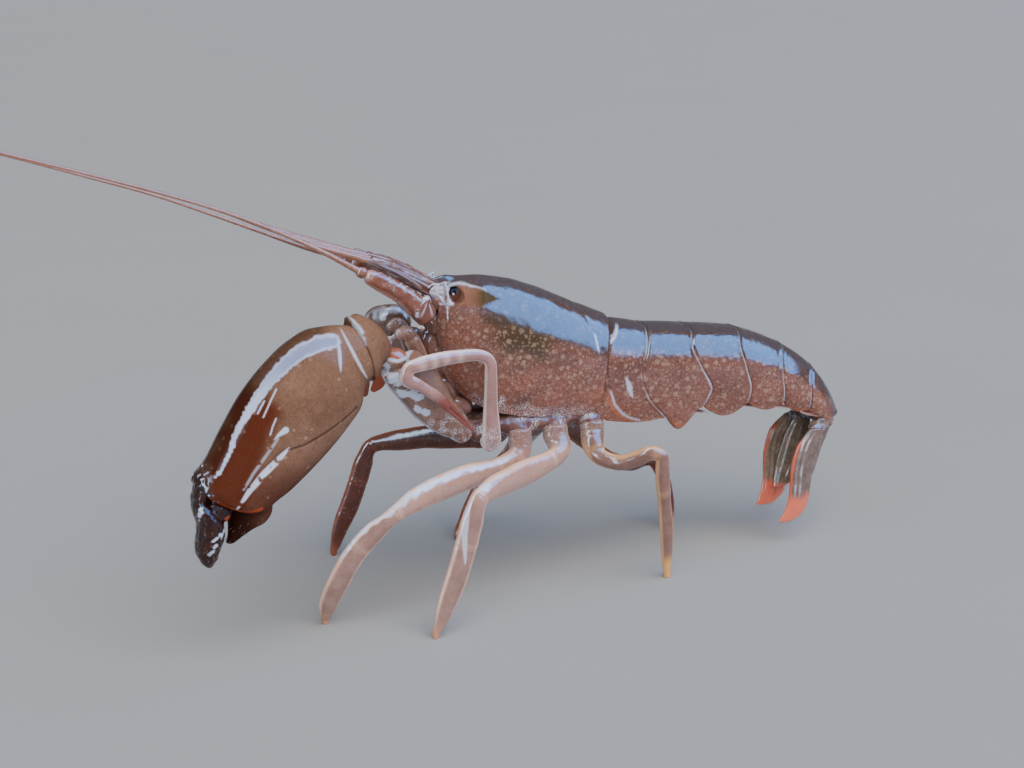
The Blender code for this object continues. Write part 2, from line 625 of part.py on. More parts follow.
SMALL_MERUS = [(-5.0, 2.8, 14.9, 1.6, 1.5), (-5.6, 3.4, 16.2, 2.0, 1.7), (-6.6, 4.2, 18.3, 2.5, 1.9),
               (-7.7, 4.8, 20.9, 2.8, 2.0), (-8.3, 5.1, 22.8, 2.4, 1.9)]
SMALL_CARPUS = [(-8.6, 5.2, 23.5, 2.2, 1.9), (-9.3, 5.6, 24.0, 3.0, 2.2), (-10.3, 6.5, 23.8, 3.0, 2.3),
                (-10.8, 7.3, 23.2, 2.5, 2.1)]
SMALL_PALM = [(-11.1, 7.9, 22.55, 2.2, 1.9), (-11.2, 8.6, 21.4, 2.9, 2.2), (-11.0, 9.5, 20.0, 2.9, 2.2),
              (-10.8, 10.1, 18.9, 2.4, 2.0)]
SMALL_THUMB = [(-10.2, 10.0, 19.2, 1.3, 1.3), (-9.75, 10.6, 18.0, 1.3, 1.1), (-9.85, 11.2, 16.8, 0.95, 0.8),
               (-10.55, 11.7, 15.7, 0.35, 0.35)]
SMALL_FINGER = [(-11.5, 10.75, 18.15, 1.1, 1.1), (-11.5, 11.2, 17.2, 1.1, 1.0),
                (-11.35, 11.6, 16.3, 0.8, 0.75), (-11.1, 12.0, 15.3, 0.35, 0.35)]


def build_small_claw():
    limb("small_claw_merus", SMALL_MERUS, "claw", sides=10, end_round=0.4)
    limb("small_claw_carpus", SMALL_CARPUS, "claw", sides=10, rings=6, start_round=0.4, end_round=0.3)
    palm = limb("small_claw_palm", SMALL_PALM, "claw", side=(0, 0.7, 0.7), sides=12, rings=7,
                start_round=0.3, end_round=0.4)
    thumb = limb("thumb", SMALL_THUMB, "claw", rings=6)
    fuse("small_claw_palm", [palm, thumb], "claw")
    limb("small_claw_finger", SMALL_FINGER, "claw", rings=7, start_round=0.3)


# Feelers and mouth, given for the left side and turned over for the right.
ANTENNULE = [(-6.9, 0.95, 27.9, 1.5, 1.2), (-8.6, 0.95, 29.0, 1.5, 1.2), (-10.6, 0.95, 30.2, 1.3, 1.1),
             (-12.5, 1.0, 31.05, 1.1, 1.0)]
SHORT_FEELER = [(-12.2, 1.25, 30.9, 0.8, 0.7), (-14.6, 1.5, 31.9, 0.7, 0.6), (-17.6, 1.75, 33.1, 0.5, 0.5),
                (-19.6, 1.9, 34.0, 0.2, 0.2)]
THIN_FEELER = [(-12.2, 0.8, 31.1, 0.7, 0.6), (-15.2, 0.65, 32.2, 0.55, 0.5), (-19.6, 0.6, 34.0, 0.5, 0.5),
               (-24.5, 0.6, 36.3, 0.2, 0.2)]
ANTENNA_BASE = [(-7.9, 2.75, 25.7, 1.9, 1.6), (-8.7, 2.95, 26.8, 2.1, 1.6),
                (-10.2, 3.1, 28.3, 1.7, 1.4), (-11.9, 3.15, 29.5, 1.6, 1.3), (-13.4, 3.1, 30.4, 1.1, 1.0)]
SCALE = [
    (-8.3, 1.95, 28.35, -8.5, 3.1, 28.5, 0.4),
    (-9.9, 1.9, 29.75, -10.1, 3.4, 29.9, 0.4),
    (-11.4, 1.9, 30.65, -11.7, 3.3, 30.85, 0.4),
    (-12.9, 2.3, 31.3, -13.1, 2.75, 31.5, 0.35),
]
LONG_FEELERS = {
    "left": [(-13.85, -3.1, 30.7), (-16.9, -3.1, 32.7), (-21.2, -3.2, 35.1), (-25.4, -3.4, 37.1),
             (-29.6, -3.6, 38.8), (-35.0, -3.9, 40.8), (-41.5, -4.3, 43.1), (-47.5, -4.8, 45.0)],
    "right": [(-13.85, 3.1, 30.65), (-16.9, 3.0, 31.7), (-21.2, 3.0, 33.5), (-25.4, 3.1, 35.3),
              (-29.6, 3.3, 37.1), (-35.0, 3.6, 38.9), (-41.5, 4.1, 41.0), (-47.0, 4.6, 42.6)],
}
MOUTH_FOOT = [(-6.4, 1.1, 16.4, 1.3, 1.0), (-7.6, 1.15, 18.9, 1.6, 1.1), (-8.5, 1.25, 21.4, 1.6, 1.1),
              (-9.1, 1.4, 23.4, 1.4, 1.0), (-9.9, 1.6, 24.6, 1.2, 0.9), (-10.8, 1.6, 24.3, 0.8, 0.7)]


def on_side(stations, side):
    return [(x, abs(y) * side, z, *rest) for x, y, z, *rest in stations]


def long_feeler(points):
    """Gives a feeler's points its girth: stout at the root, even along its shaft, fine at the tip."""
    last = len(points) - 1
    girths = [FEELER_ROOT, *[FEELER_SHAFT] * (last - 1), FEELER_TIP]
    return [(*point, girth, girth) for point, girth in zip(points, girths)]


def build_head_pieces():
    for side, word in ((-1, "left"), (1, "right")):
        stalk = limb(f"antennule_{word}", on_side(ANTENNULE, side), "feeler", sides=10, rings=7,
                     start_round=0.3, end_round=0.3)
        short = limb("short", on_side(SHORT_FEELER, side), "feeler", sides=6, rings=7)
        thin = limb("thin", on_side(THIN_FEELER, side), "feeler", sides=6, rings=8)
        fuse(f"antennule_{word}", [stalk, short, thin], "feeler")
        limb(f"antenna_base_{word}", on_side(ANTENNA_BASE, side), "feeler", sides=10,
             start_round=0.3, end_round=0.3)
        blade(f"antenna_scale_{word}", blade_on_side(SCALE, side), "feeler", sides=10, rings=8,
              start_round=0.2)
        limb(f"antenna_{word}", long_feeler(LONG_FEELERS[word]), "feeler", sides=6, rings=24)
        limb(f"mouth_foot_{word}", on_side(MOUTH_FOOT, side), "leg", end_round=0.3)


def centre_on_floor():
    """Moves everything so that the middle of its outline box stands on the origin."""
    bpy.context.view_layer.update()
    corners = [obj.matrix_world @ Vector(corner) for obj in SHRIMP.objects if obj.type == "MESH"
               for corner in obj.bound_box]
    low = [min(corner[axis] for corner in corners) for axis in range(3)]
    high = [max(corner[axis] for corner in corners) for axis in range(3)]
    ROOT.location = (-(low[0] + high[0]) / 2, -(low[1] + high[1]) / 2, -low[2])


build_carapace()
build_eyes()
build_tail_rings()
build_fan()
build_legs()
build_second_legs()
build_great_claw()
build_small_claw()
build_head_pieces()
centre_on_floor()
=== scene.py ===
import math

import bmesh
import bpy
import numpy as np
from mathutils import Matrix, Vector


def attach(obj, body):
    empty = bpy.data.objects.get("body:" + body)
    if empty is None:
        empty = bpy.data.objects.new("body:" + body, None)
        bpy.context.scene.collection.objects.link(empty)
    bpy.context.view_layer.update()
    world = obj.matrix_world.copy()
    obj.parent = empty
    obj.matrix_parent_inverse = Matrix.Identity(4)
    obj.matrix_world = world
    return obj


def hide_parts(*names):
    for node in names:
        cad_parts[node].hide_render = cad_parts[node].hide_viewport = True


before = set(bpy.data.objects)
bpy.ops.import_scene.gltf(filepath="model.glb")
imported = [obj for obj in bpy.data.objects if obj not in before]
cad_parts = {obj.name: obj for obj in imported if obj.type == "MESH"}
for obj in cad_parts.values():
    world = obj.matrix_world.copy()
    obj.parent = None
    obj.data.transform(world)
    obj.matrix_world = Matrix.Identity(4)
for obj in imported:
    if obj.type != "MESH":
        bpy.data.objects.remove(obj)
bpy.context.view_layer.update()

# Lengths are millimetres in the animal's own frame: head to -X, left side to -Y, floor at Z = 0.
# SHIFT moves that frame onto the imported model, and MM turns it into metres.
MM = 0.001
SHIFT = np.array((7.85, -1.201, 0.0))
LEFT, RIGHT = -1, 1
SIDES = ((LEFT, "left"), (RIGHT, "right"))


# Curves and forms

def metres(points):
    return (np.asarray(points, float) + SHIFT) * MM


def follow(rows, places, wanted):
    """The rows, read at the wanted places along a smooth curve that doesn't overshoot them."""
    values, places = np.asarray(rows, float), np.asarray(places, float)
    wanted = np.clip(np.atleast_1d(np.asarray(wanted, float)), places[0], places[-1])
    rise = np.diff(values, axis=0) / np.diff(places)[:, None]
    before, after = rise[:-1], rise[1:]
    same_way = before * after > 0
    inner = np.where(same_way, 2 * before * after / np.where(same_way, before + after, 1.0), 0.0)
    slope = np.concatenate([rise[:1], inner, rise[-1:]])
    i = np.clip(np.searchsorted(places, wanted) - 1, 0, len(places) - 2)
    step = (places[i + 1] - places[i])[:, None]
    t = (wanted - places[i])[:, None] / step
    return ((2 * t**3 - 3 * t**2 + 1) * values[i] + (t**3 - 2 * t**2 + t) * step * slope[i]
            + (3 * t**2 - 2 * t**3) * values[i + 1] + (t**3 - t**2) * step * slope[i + 1])


def reaches(points):
    steps = np.linalg.norm(np.diff(np.asarray(points, float), axis=0), axis=1)
    return np.concatenate([[0.0], np.cumsum(steps)])


def unit(vectors):
    return vectors / np.maximum(np.linalg.norm(vectors, axis=-1, keepdims=True), 1e-9)


def ease(low, high, value):
    """0 below low, 1 above high and smooth between; low may be the larger one."""
    t = np.clip((np.asarray(value, float) - low) / (high - low), 0, 1)
    return t * t * (3 - 2 * t)


def bell(value, centre, width):
    return np.exp(-((np.asarray(value, float) - centre) / width) ** 2)


def most(*values):
    return np.max(values, axis=0)


class Skin:
    """The points of a piece with their normals, and how they lie to lines of x, z places in side view."""

    def __init__(self, points, normals):
        self.points, self.normals = points, normals
        self.x, self.y, self.z = points.T
        self.nx, self.ny, self.nz = normals.T
        self.near_side = self.ny < 0

    def lumps(self, size, seed, stretch=(1, 1, 1), waves=14):
        """A smooth random height between about -1 and 1, with lumps about size apart."""
        draw = np.random.default_rng(seed)
        total = np.zeros(len(self.x))
        for _ in range(waves):
            way = unit(draw.normal(size=3)) * 2 * math.pi / (size * draw.uniform(1.2, 2.6))
            total += np.sin((self.points * stretch) @ way + draw.uniform(0, 2 * math.pi))
        return total / math.sqrt(waves * 1.6)

    def place(self, line):
        """Distance to the line, negative above it, and the share of its way."""
        line = np.array(line, float)
        flat, ways = self.points[:, (0, 2)], reaches(line)
        gap, share = np.full(len(flat), 1e9), np.zeros(len(flat))
        for a, b, way in zip(line[:-1], line[1:], ways):
            run = b - a
            along = np.clip(((flat - a) @ run) / (run @ run), 0, 1)
            off = flat - (a + along[:, None] * run)
            side = np.where(run[0] * off[:, 1] - run[1] * off[:, 0] < 0, -1.0, 1.0)
            away = np.linalg.norm(off, axis=1)
            near = away < np.abs(gap)
            gap = np.where(near, away * side, gap)
            share = np.where(near, (way + along * np.linalg.norm(run)) / ways[-1], share)
        return gap, share

    def off(self, line):
        return np.abs(self.place(line)[0])

    def near(self, line, far, close):
        """1 closer to the line than close, 0 beyond far."""
        return ease(far, close, self.off(line))

    def away(self, x, z):
        return np.hypot(self.x - x, self.z - z)

    def turned(self, x, z, cosine, sine):
        """How far the points lie along and above a sloping axis through a place in side view."""
        x, z = self.x - x, self.z - z
        return x * cosine - z * sine, z * cosine + x * sine

    def above(self, line):
        return self.z - np.interp(self.x, line[:, 0], line[:, 2])

    def leaf(self, line, breadth, seed):
        """A torn patch along the line, widest in its middle and pointed at its ends."""
        gap, share = self.place(line)
        wide = breadth * np.sin(math.pi * share) ** 0.7
        torn = ease(wide + 0.04, wide - 0.06, np.abs(gap) + 0.07 * self.lumps(0.25, seed))
        return torn * (share > 0) * (share < 1)

    def stroke(self, line, breadth):
        """A smooth mark along the line, pointed at its ends."""
        gap, share = self.place(line)
        return ease(0.05, -0.05, np.abs(gap) - breadth * np.sin(math.pi * share) ** 0.6)

    def terrace(self, line, height, back):
        """A step up below the line, which fades at its ends and with the way back from it."""
        gap, share = self.place(line)
        ends = ease(0.0, 0.18, share) * ease(1.0, 0.86, share)
        step = height * ease(-0.18, 0.24, gap) * ease(back, 0.5, gap)
        return ends * (step - 0.5 * height * bell(gap, -0.34, 0.2))

    def share(self, spine, count=90):
        """How far along the spine each point lies, as a share."""
        ways = np.linspace(0, spine[1], count)
        centre, _, _, run = spine[0](ways)
        near = np.argmin((centre ** 2).sum(axis=1)[None] - 2 * self.points @ centre.T, axis=1)
        extra = ((self.points - centre[near]) * run[near]).sum(axis=1)
        return np.clip((ways[near] + np.clip(extra, -ways[1], ways[1])) / spine[1], 0, 1)


def limb_spine(stations, side=(0, 1, 0)):
    """Middle, half breadth, half thickness and run of a limb by the way along it, and its length."""
    rows = np.array(stations, float)
    places = reaches(rows[:, :3])

    def at(way):
        path = follow(rows, places, way)
        run = unit(follow(rows[:, :3], places, way + 0.15) - follow(rows[:, :3], places, way - 0.15))
        breadth = unit(np.cross(run, side))
        return path[:, :3], breadth * path[:, 3:4] / 2, np.cross(breadth, run) * path[:, 4:5] / 2, run
    return at, places[-1]


def blade_spine(rows):
    """The same for a flat form given by its two edges and its thickness."""
    table = np.array(rows, float)
    places = reaches((table[:, :3] + table[:, 3:6]) / 2)

    def middle(way):
        path = follow(table, places, way)
        return (path[:, :3] + path[:, 3:6]) / 2

    def at(way):
        path = follow(table, places, way)
        run = unit(middle(way + 0.3) - middle(way - 0.3))
        breadth = (path[:, :3] - path[:, 3:6]) / 2
        return middle(way), breadth, unit(np.cross(run, breadth)) * path[:, 6:7] / 2, run
    return at, places[-1]


def side_blade(rows):
    """A blade seen from the side: one edge x, z; the other edge x, z; the middle's y; and thickness."""
    return blade_spine([(ux, y, uz, lx, y, lz, thick) for ux, uz, lx, lz, y, thick in rows])


def stations(spine, shares):
    return zip(*spine[0](np.asarray(shares) * spine[1]))


# How many rings round off an end of a tube.
END_RINGS = 7


def tube(spine, sides, step=0.14, span=(0.0, 1.0), ends=(0.3, 0.3), girth=None, power=(1.0, 1.0), shape=None):
    """A closed grid of points round a spine, one row for each ring, with rounded or flat ends."""
    at, length = spine
    start, stop = span[0] * length, span[1] * length
    turn_in = [np.linspace(0, math.pi / 2, END_RINGS, endpoint=False) if end else np.zeros(1) for end in ends]
    middle = np.linspace(start + ends[0], stop - ends[1], max(4, int((stop - start) / step)))
    places = np.concatenate([start + ends[0] * (1 - np.cos(turn_in[0])), middle,
                             (stop - ends[1] * (1 - np.cos(turn_in[1])))[::-1]])
    full = np.concatenate([np.sin(turn_in[0]), np.ones(len(middle)), np.sin(turn_in[1])[::-1]])
    centre, breadth, thick, _ = at(places)
    turns = 2 * math.pi * np.arange(sides) / sides
    across = np.sign(np.cos(turns)) * np.abs(np.cos(turns)) ** power[0]
    through = np.sign(np.sin(turns)) * np.abs(np.sin(turns)) ** power[1]
    share = (places - start) / (stop - start)
    if girth is not None:
        full = full * girth(share)
    grid = (centre[:, None] + breadth[:, None] * (full[:, None, None] * across[None, :, None])
            + thick[:, None] * (full[:, None, None] * through[None, :, None]))
    return grid if shape is None else shape(grid, share, turns)


def ball(centre, radii, sides=40, rings=24):
    """A closed grid of points on a stretched ball."""
    down = np.linspace(0, math.pi, rings)[:, None]
    turns = 2 * math.pi * np.arange(sides) / sides
    round_ball = np.stack([np.sin(down) * np.cos(turns), np.sin(down) * np.sin(turns),
                           np.cos(down) * np.ones(sides)], axis=2)
    return np.array(centre) + round_ball * np.array(radii)


def mirrored(rows, side):
    """Rows given for the right side, turned over for the left where side is LEFT."""
    return [(x, y * side, *rest) for x, y, *rest in rows]


def mirrored_blade(rows, side):
    return [(ax, ay * side, az, bx, by * side, bz, thick) for ax, ay, az, bx, by, bz, thick in rows]


def grid_normals(grid):
    around = np.roll(grid, -1, axis=1) - np.roll(grid, 1, axis=1)
    return unit(np.cross(np.gradient(grid, axis=0), around))


# Meshes

def form_of(*grids, cap=False):
    """A bmesh with a skin over each grid of points, closed round its rings."""
    form = bmesh.new()
    for grid in grids:
        grid = np.concatenate([grid, grid[:, :1]], axis=1)
        rings, columns = grid.shape[:2]
        made = bmesh.ops.create_grid(form, x_segments=rings - 1, y_segments=columns - 1, size=1.0)["verts"]
        places = metres(grid)
        for vertex in made:
            i = round((vertex.co.x + 1) / 2 * (rings - 1))
            j = round((vertex.co.y + 1) / 2 * (columns - 1))
            vertex.co = places[i, j]
        bmesh.ops.remove_doubles(form, verts=made, dist=2e-7)
    if cap:
        open_edges = [edge for edge in form.edges if edge.is_boundary]
        faces = bmesh.ops.holes_fill(form, edges=open_edges, sides=0)["faces"]
        bmesh.ops.triangulate(form, faces=faces)
    return form


def make_piece(name, finish, slot, form, replaced=(), relief=None, masks=None, voxel=0.0, rounds=0):
    """Turns the bmesh into a finished piece that rides on the body, melted together where voxel is set."""
    mesh = bpy.data.meshes.new(name)
    form.to_mesh(mesh)
    form.free()
    piece = bpy.data.objects.new(name, mesh)
    bpy.context.scene.collection.objects.link(piece)
    if voxel:
        remesh = piece.modifiers.new("melt", "REMESH")
        remesh.mode, remesh.voxel_size = "VOXEL", voxel * MM
        bpy.context.view_layer.update()
        mesh = bpy.data.meshes.new_from_object(piece.evaluated_get(bpy.context.evaluated_depsgraph_get()))
        piece.modifiers.clear()
        piece.data = mesh
        mesh.name = name
    if rounds:
        soft = bmesh.new()
        soft.from_mesh(mesh)
        for _ in range(rounds):
            bmesh.ops.smooth_vert(soft, verts=soft.verts, factor=0.5, use_axis_x=True, use_axis_y=True,
                                  use_axis_z=True)
        soft.to_mesh(mesh)
        soft.free()
    count = len(mesh.vertices)
    places, normals = np.zeros(count * 3), np.zeros(count * 3, np.float32)
    mesh.vertices.foreach_get("co", places)
    mesh.vertex_normals.foreach_get("vector", normals)
    skin = Skin(places.reshape(-1, 3) / MM - SHIFT, normals.reshape(-1, 3).astype(float))
    if relief is not None:
        skin = Skin(skin.points + skin.normals * relief(skin)[:, None], skin.normals)
        mesh.vertices.foreach_set("co", metres(skin.points).ravel())
        mesh.update()
    painted = masks(skin) if callable(masks) else {mask: paint(skin) for mask, paint in (masks or {}).items()}
    for mask, values in painted.items():
        layer = mesh.attributes.new(mask, "FLOAT", "POINT")
        layer.data.foreach_set("value", np.clip(values + np.zeros(count), 0, 1).astype(np.float32))
    mesh.shade_smooth()
    mesh.materials.append(finish)
    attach(piece, "root")
    if replaced:
        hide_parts(*replaced)


def make_solid(name, finish, slot, form, *rest, **more):
    """The same for closed skins, whose faces are first turned outwards."""
    bmesh.ops.recalc_face_normals(form, faces=form.faces[:])
    make_piece(name, finish, slot, form, *rest, **more)


def add_bristle(form, root, tip, width=0.035):
    """A tapered hair from root to tip."""
    root, tip = Vector(metres(root)), Vector(metres(tip))
    run = tip - root
    turn = run.to_track_quat("Z", "Y").to_matrix().to_4x4()
    bmesh.ops.create_cone(form, cap_ends=True, segments=4, radius1=width * MM / 2, radius2=width * MM / 14,
                          depth=run.length, matrix=Matrix.Translation((root + tip) / 2) @ turn)


# Materials

class Value:
    """A shader socket that can stand in sums."""

    def __init__(self, finish, socket):
        self.finish, self.socket = finish, socket

    def math(self, operation, *terms):
        return self.finish.node("Math", {"operation": operation}, dict(enumerate(terms)))

    def __add__(self, other):
        return self.math("ADD", self, other)

    def __sub__(self, other):
        return self.math("SUBTRACT", self, other)

    def __rsub__(self, other):
        return self.math("SUBTRACT", other, self)

    def __mul__(self, other):
        return self.math("MULTIPLY", self, other)

    def __lt__(self, other):
        return self.math("LESS_THAN", self, other)

    __radd__, __rmul__ = __add__, __mul__

    def held(self):
        """Kept between 0 and 1."""
        return self.math("MINIMUM", self.math("MAXIMUM", self, 0.0), 1.0)

    def step(self, low, high):
        return ((self - low) * (1.0 / (high - low))).held()

    def beside(self, output):
        """Another output of the same node."""
        return Value(self.finish, self.socket.node.outputs[output])


class Finish:
    """A material, and the colour that its layers have built up so far."""

    def __init__(self, name, **constants):
        self.material = bpy.data.materials.new(name)
        self.material.use_nodes = True
        self.tree = self.material.node_tree
        self.shader = self.tree.nodes["Principled BSDF"]
        for socket, value in constants.items():
            self.shader.inputs[socket.replace("_", " ")].default_value = value
        self.where = self.node("TexCoord", output="Object")

    def node(self, kind, settings=None, sockets=None, output=0):
        """A node with its settings, and then the values or links of its sockets, by name or number."""
        made = self.tree.nodes.new("ShaderNode" + kind)
        for key, value in (settings or {}).items():
            setattr(made, key, value)
        for key, value in (sockets or {}).items():
            if isinstance(value, Value):
                self.tree.links.new(value.socket, made.inputs[key])
            else:
                made.inputs[key].default_value = value
        return Value(self, made.outputs[output])

    def mask(self, name):
        return self.node("Attribute", {"attribute_name": name}, output="Fac")

    def noise(self, size, detail=2.0, roughness=0.5):
        sockets = {"Vector": self.where, "Scale": 1 / (size * MM), "Detail": detail, "Roughness": roughness}
        return self.node("TexNoise", sockets=sockets, output="Fac")

    def dots(self, spacing, radius, keep, softness):
        """Round spots of uneven size, radius being a share of the spacing; keep is the share drawn."""
        away = self.node("TexVoronoi", sockets={"Vector": self.where, "Scale": 1 / (spacing * MM)},
                         output="Distance")
        chance = self.node("SeparateColor", sockets={0: away.beside("Color")})
        edge = radius * (0.55 + chance * 0.75)
        return ((edge - away) * (1 / softness) + 0.5).held() * (chance.beside(1) < keep)

    def mix(self, share, low, high):
        low, high = ((*colour, 1.0) if isinstance(colour, tuple) else colour for colour in (low, high))
        return self.node("Mix", {"data_type": "RGBA"}, {0: share, 6: low, 7: high}, 2)

    def layers(self, colour, *rows):
        """Lays colours over the first one, each by a mask's name or a value and how strong it is."""
        for source, strength, over in rows:
            share = self.mask(source) if isinstance(source, str) else source
            colour = self.mix(share if strength == 1 else share * strength, colour, over)
        return colour

    def frost(self):
        """Painted highlights: a layer of tiny pale sparkles, standing in for glints off water held by fine
        hairs.
        """
        return "frost", self.noise(0.12, 2.0, 0.7).step(0.51, 0.56) * 0.9, SPARKLE_WHITE

    def bump(self, height, strength):
        return self.node("Bump", sockets={"Height": height, "Strength": strength, "Distance": 0.03 * MM})

    def pits(self, size, strength):
        return self.bump(self.noise(0.13, 2.0, 0.6) * 0.4 + self.noise(size), strength)

    def feed(self, colour, roughness=None, mute=None, **sockets):
        """Links the values to the shader. Where mute is 1 the wet shine is taken away."""
        shaders, sockets["Base Color"] = [self.shader], colour
        if roughness:
            sockets["Roughness"] = roughness
        if mute:
            dry = self.node("BsdfPrincipled", sockets={"Specular IOR Level": 0.0})
            joint = self.node("MixShader", sockets={0: mute, 1: Value(self, self.shader.outputs[0]), 2: dry})
            self.tree.links.new(joint.socket, self.tree.nodes["Material Output"].inputs["Surface"])
            shaders.append(dry.socket.node)
        for name, value in sockets.items():
            for shader in shaders:
                self.tree.links.new(value.socket, shader.inputs[name])
        return self.material


CREAM = (0.45, 0.30, 0.22)
# White of the painted sparkles.
SPARKLE_WHITE = (0.92, 0.90, 1.0)
# Pale blue of the painted highlights.
GLEAM = (0.68, 0.78, 1.0)


def wet_finish(name, glow, depth):
    """Wet skin that lets some light through, glow strong and depth millimetres deep."""
    return Finish(name, Subsurface_Weight=glow, Subsurface_Scale=depth * MM, Coat_Weight=0.08,
                  Coat_Roughness=0.04, IOR=1.5, Specular_IOR_Level=0.5)


def shell_finish():
    """Wet red-brown shell with pale dots, a dark back and a green-brown patch on the flank."""
    f = wet_finish("shell_skin", 0.1, 0.7)
    broad, middle = f.noise(4.5, 3.0), f.noise(1.1, 3.0)
    calm = (1.0 - f.mask("back") * 0.7) * (1.0 - f.mask("dusk") * 0.65)
    colour = f.layers(
        (0.143, 0.061, 0.047), (broad.step(0.35, 0.65), 1, (0.220, 0.094, 0.071)),
        (middle.step(0.42, 0.75), 0.5, (0.255, 0.110, 0.082)), ("dusk", 0.8, (0.045, 0.030, 0.024)),
        ("olive", 0.7 + broad * 0.5, (0.058, 0.040, 0.018)), ("warm", 0.75, (0.52, 0.15, 0.070)),
        # The dark back's bluish tint is painted sheen.
        ("back", 0.92, (0.064, 0.052, 0.070)),
        (f.noise(0.22).step(0.50, 0.66) * calm, 0.55, (0.062, 0.024, 0.018)),
        (f.dots(0.27, 0.33, 0.95, 0.22) * calm, 0.36, CREAM),
        (f.dots(0.60, 0.32, 0.90, 0.16) * calm, 0.30 + middle * 0.3, CREAM),
        ("blush", 0.9, (0.27, 0.125, 0.085)), ("moss", 0.95, (0.072, 0.056, 0.024)),
        # The last two layers are painted highlights: pale blue lines and tiny pale sparkles.
        ("rim", 0.75, GLEAM), f.frost())
    return f.feed(colour, 0.09 + f.noise(0.7, 3.0) * 0.13, (f.mask("blush") + f.mask("moss")).held(),
                  Normal=f.pits(0.3, 0.35), Alpha=1.0 - f.mask("window") * 0.75)


def claw_finish(name, low, high):
    """Brown claw shell, deep red towards the fingers, with few pale dots."""
    f = wet_finish(name, 0.1, 0.7)
    pale = 1.0 - f.mask("deep") * 0.8
    colour = f.layers(
        low, (f.noise(5.0, 3.0).step(0.3, 0.7), 1, high),
        (f.noise(0.25).step(0.45, 0.7), 0.35, (0.105, 0.046, 0.028)),
        (f.noise(1.2, 3.0).step(0.5, 0.8), 0.4, (0.31, 0.175, 0.125)), ("deep", 0.93, (0.096, 0.021, 0.009)),
        (f.dots(0.20, 0.30, 0.6, 0.16), pale * 0.16, CREAM),
        (f.dots(0.95, 0.17, 0.5, 0.06), 0.15 + pale * 0.25, CREAM),
        ("warm", 0.85, (0.50, 0.085, 0.025)), ("dark", 0.95, (0.022, 0.007, 0.004)),
        # The sheen and rim layers are a painted blue reflection and painted highlights; the last layer is
        # painted sparkles.
        ("spot", 1, (0.60, 0.085, 0.010)), ("sheen", 0.9, (0.27, 0.32, 0.56)), ("rim", 0.8, GLEAM), f.frost())
    return f.feed(colour, 0.09 + f.noise(0.8, 3.0) * 0.14, f.mask("mute"), Normal=f.pits(0.45, 0.28))


def dark_claw_finish():
    """The near black fingers of the great claw, with a red glow at the hinge."""
    f = Finish("claw_skin_dark", IOR=1.45, Specular_IOR_Level=0.35, Coat_Weight=0.05)
    colour = f.layers(
        (0.016, 0.005, 0.003), (f.noise(1.0, 3.0).step(0.35, 0.7), 1, (0.050, 0.015, 0.007)),
        (f.noise(0.2).step(0.5, 0.7), 0.5, (0.009, 0.003, 0.002)), ("spot", 1, (0.55, 0.080, 0.010)),
        # rim: painted highlights.
        ("rim", 0.8, GLEAM))
    return f.feed(colour, 0.12 + f.noise(0.5, 3.0) * 0.3, Normal=f.pits(0.3, 0.4))


def leg_finish(name, flesh, edge, tip, dull=0.0):
    """Translucent leg shell with darker flesh inside; its lighter edges are painted light showing through the
    thin sides.
    """
    f = wet_finish(name, 0.3, 0.9)
    f.shader.inputs["Subsurface Radius"].default_value = (1.0, 0.45, 0.3)
    darker, paler, darkest = (tuple(c * share for c in flesh) for share in (0.7, 1.7, 0.55))
    colour = f.layers(
        flesh, (f.noise(1.1, 3.0).step(0.3, 0.7), 1, darker), ("pale", 0.5, paler),
        (f.noise(0.25).step(0.5, 0.7), 0.3, darkest), ("edge", 0.85, edge), ("joint", 0.25, edge),
        ("tip", 0.85, tip), ("root", 0.75, (0.170, 0.085, 0.066)),
        # The rim and sparkle layers are painted highlights.
        (f.dots(0.3, 0.3, 0.3, 0.12), 0.15, (0.6, 0.42, 0.33)), ("rim", 0.65, GLEAM), f.frost())
    return f.feed(colour, 0.10 + dull + f.noise(0.5) * 0.15, Normal=f.pits(0.35, 0.22))


def feeler_finish(name, low, high, ring, tip=(0.55, 0.33, 0.28)):
    f = wet_finish(name, 0.1, 0.5)
    colour = f.layers(
        low, (f.noise(0.6, 3.0).step(0.35, 0.65), 1, high),
        (f.noise(0.2).step(0.5, 0.68), 0.35, tuple(c * 0.5 for c in low)), ("ring", 0.55, ring),
        # edge is painted highlight in pale blue; the last layer is painted sparkles.
        ("edge", 0.85, (0.62, 0.66, 0.84)), ("tip", 0.8, tip), f.frost())
    return f.feed(colour, 0.13 + f.noise(0.4) * 0.15, Normal=f.pits(0.3, 0.25))


def fan_finish(name, low, high):
    """Ridged tail fan, olive-brown going to orange at the ends."""
    f = wet_finish(name, 0.15, 0.6)
    colour = f.layers(
        low, (f.noise(0.9, 3.0).step(0.35, 0.65), 1, high),
        (f.noise(0.2).step(0.5, 0.7), 0.4, (0.070, 0.030, 0.016)), (f.dots(0.3, 0.28, 0.5, 0.1), 0.18, CREAM),
        # rim: painted highlights along the ridges.
        ("edge", 0.9, (0.66, 0.12, 0.050)), ("tip", 0.9, (0.90, 0.185, 0.096)), ("rim", 0.7, GLEAM))
    return f.feed(colour, 0.11 + f.noise(0.5) * 0.15, Normal=f.pits(0.3, 0.3))


def plain_finish(name, low, high, roughness, size):
    f = Finish(name)
    return f.feed(f.mix(f.noise(size, 3.0).step(0.3, 0.7), low, high),
                  roughness * 0.7 + f.noise(size * 0.7) * roughness * 0.6,
                  Normal=f.bump(f.noise(size * 0.4, 3.0), 0.3))


def eye_finish():
    """A dark eye, blackest above and red-brown below, under a wet skin."""
    f = Finish("eye_skin", IOR=1.4, Specular_IOR_Level=0.12)
    colour = f.layers((0.045, 0.011, 0.006), ("dark", 1, (0.003, 0.002, 0.003)),
                      (f.noise(0.1, 3.0).step(0.4, 0.8), 0.4, (0.02, 0.006, 0.004)), ("glint", 0.9, GLEAM))
    return f.feed(colour, 0.05 + f.noise(0.3) * 0.06)


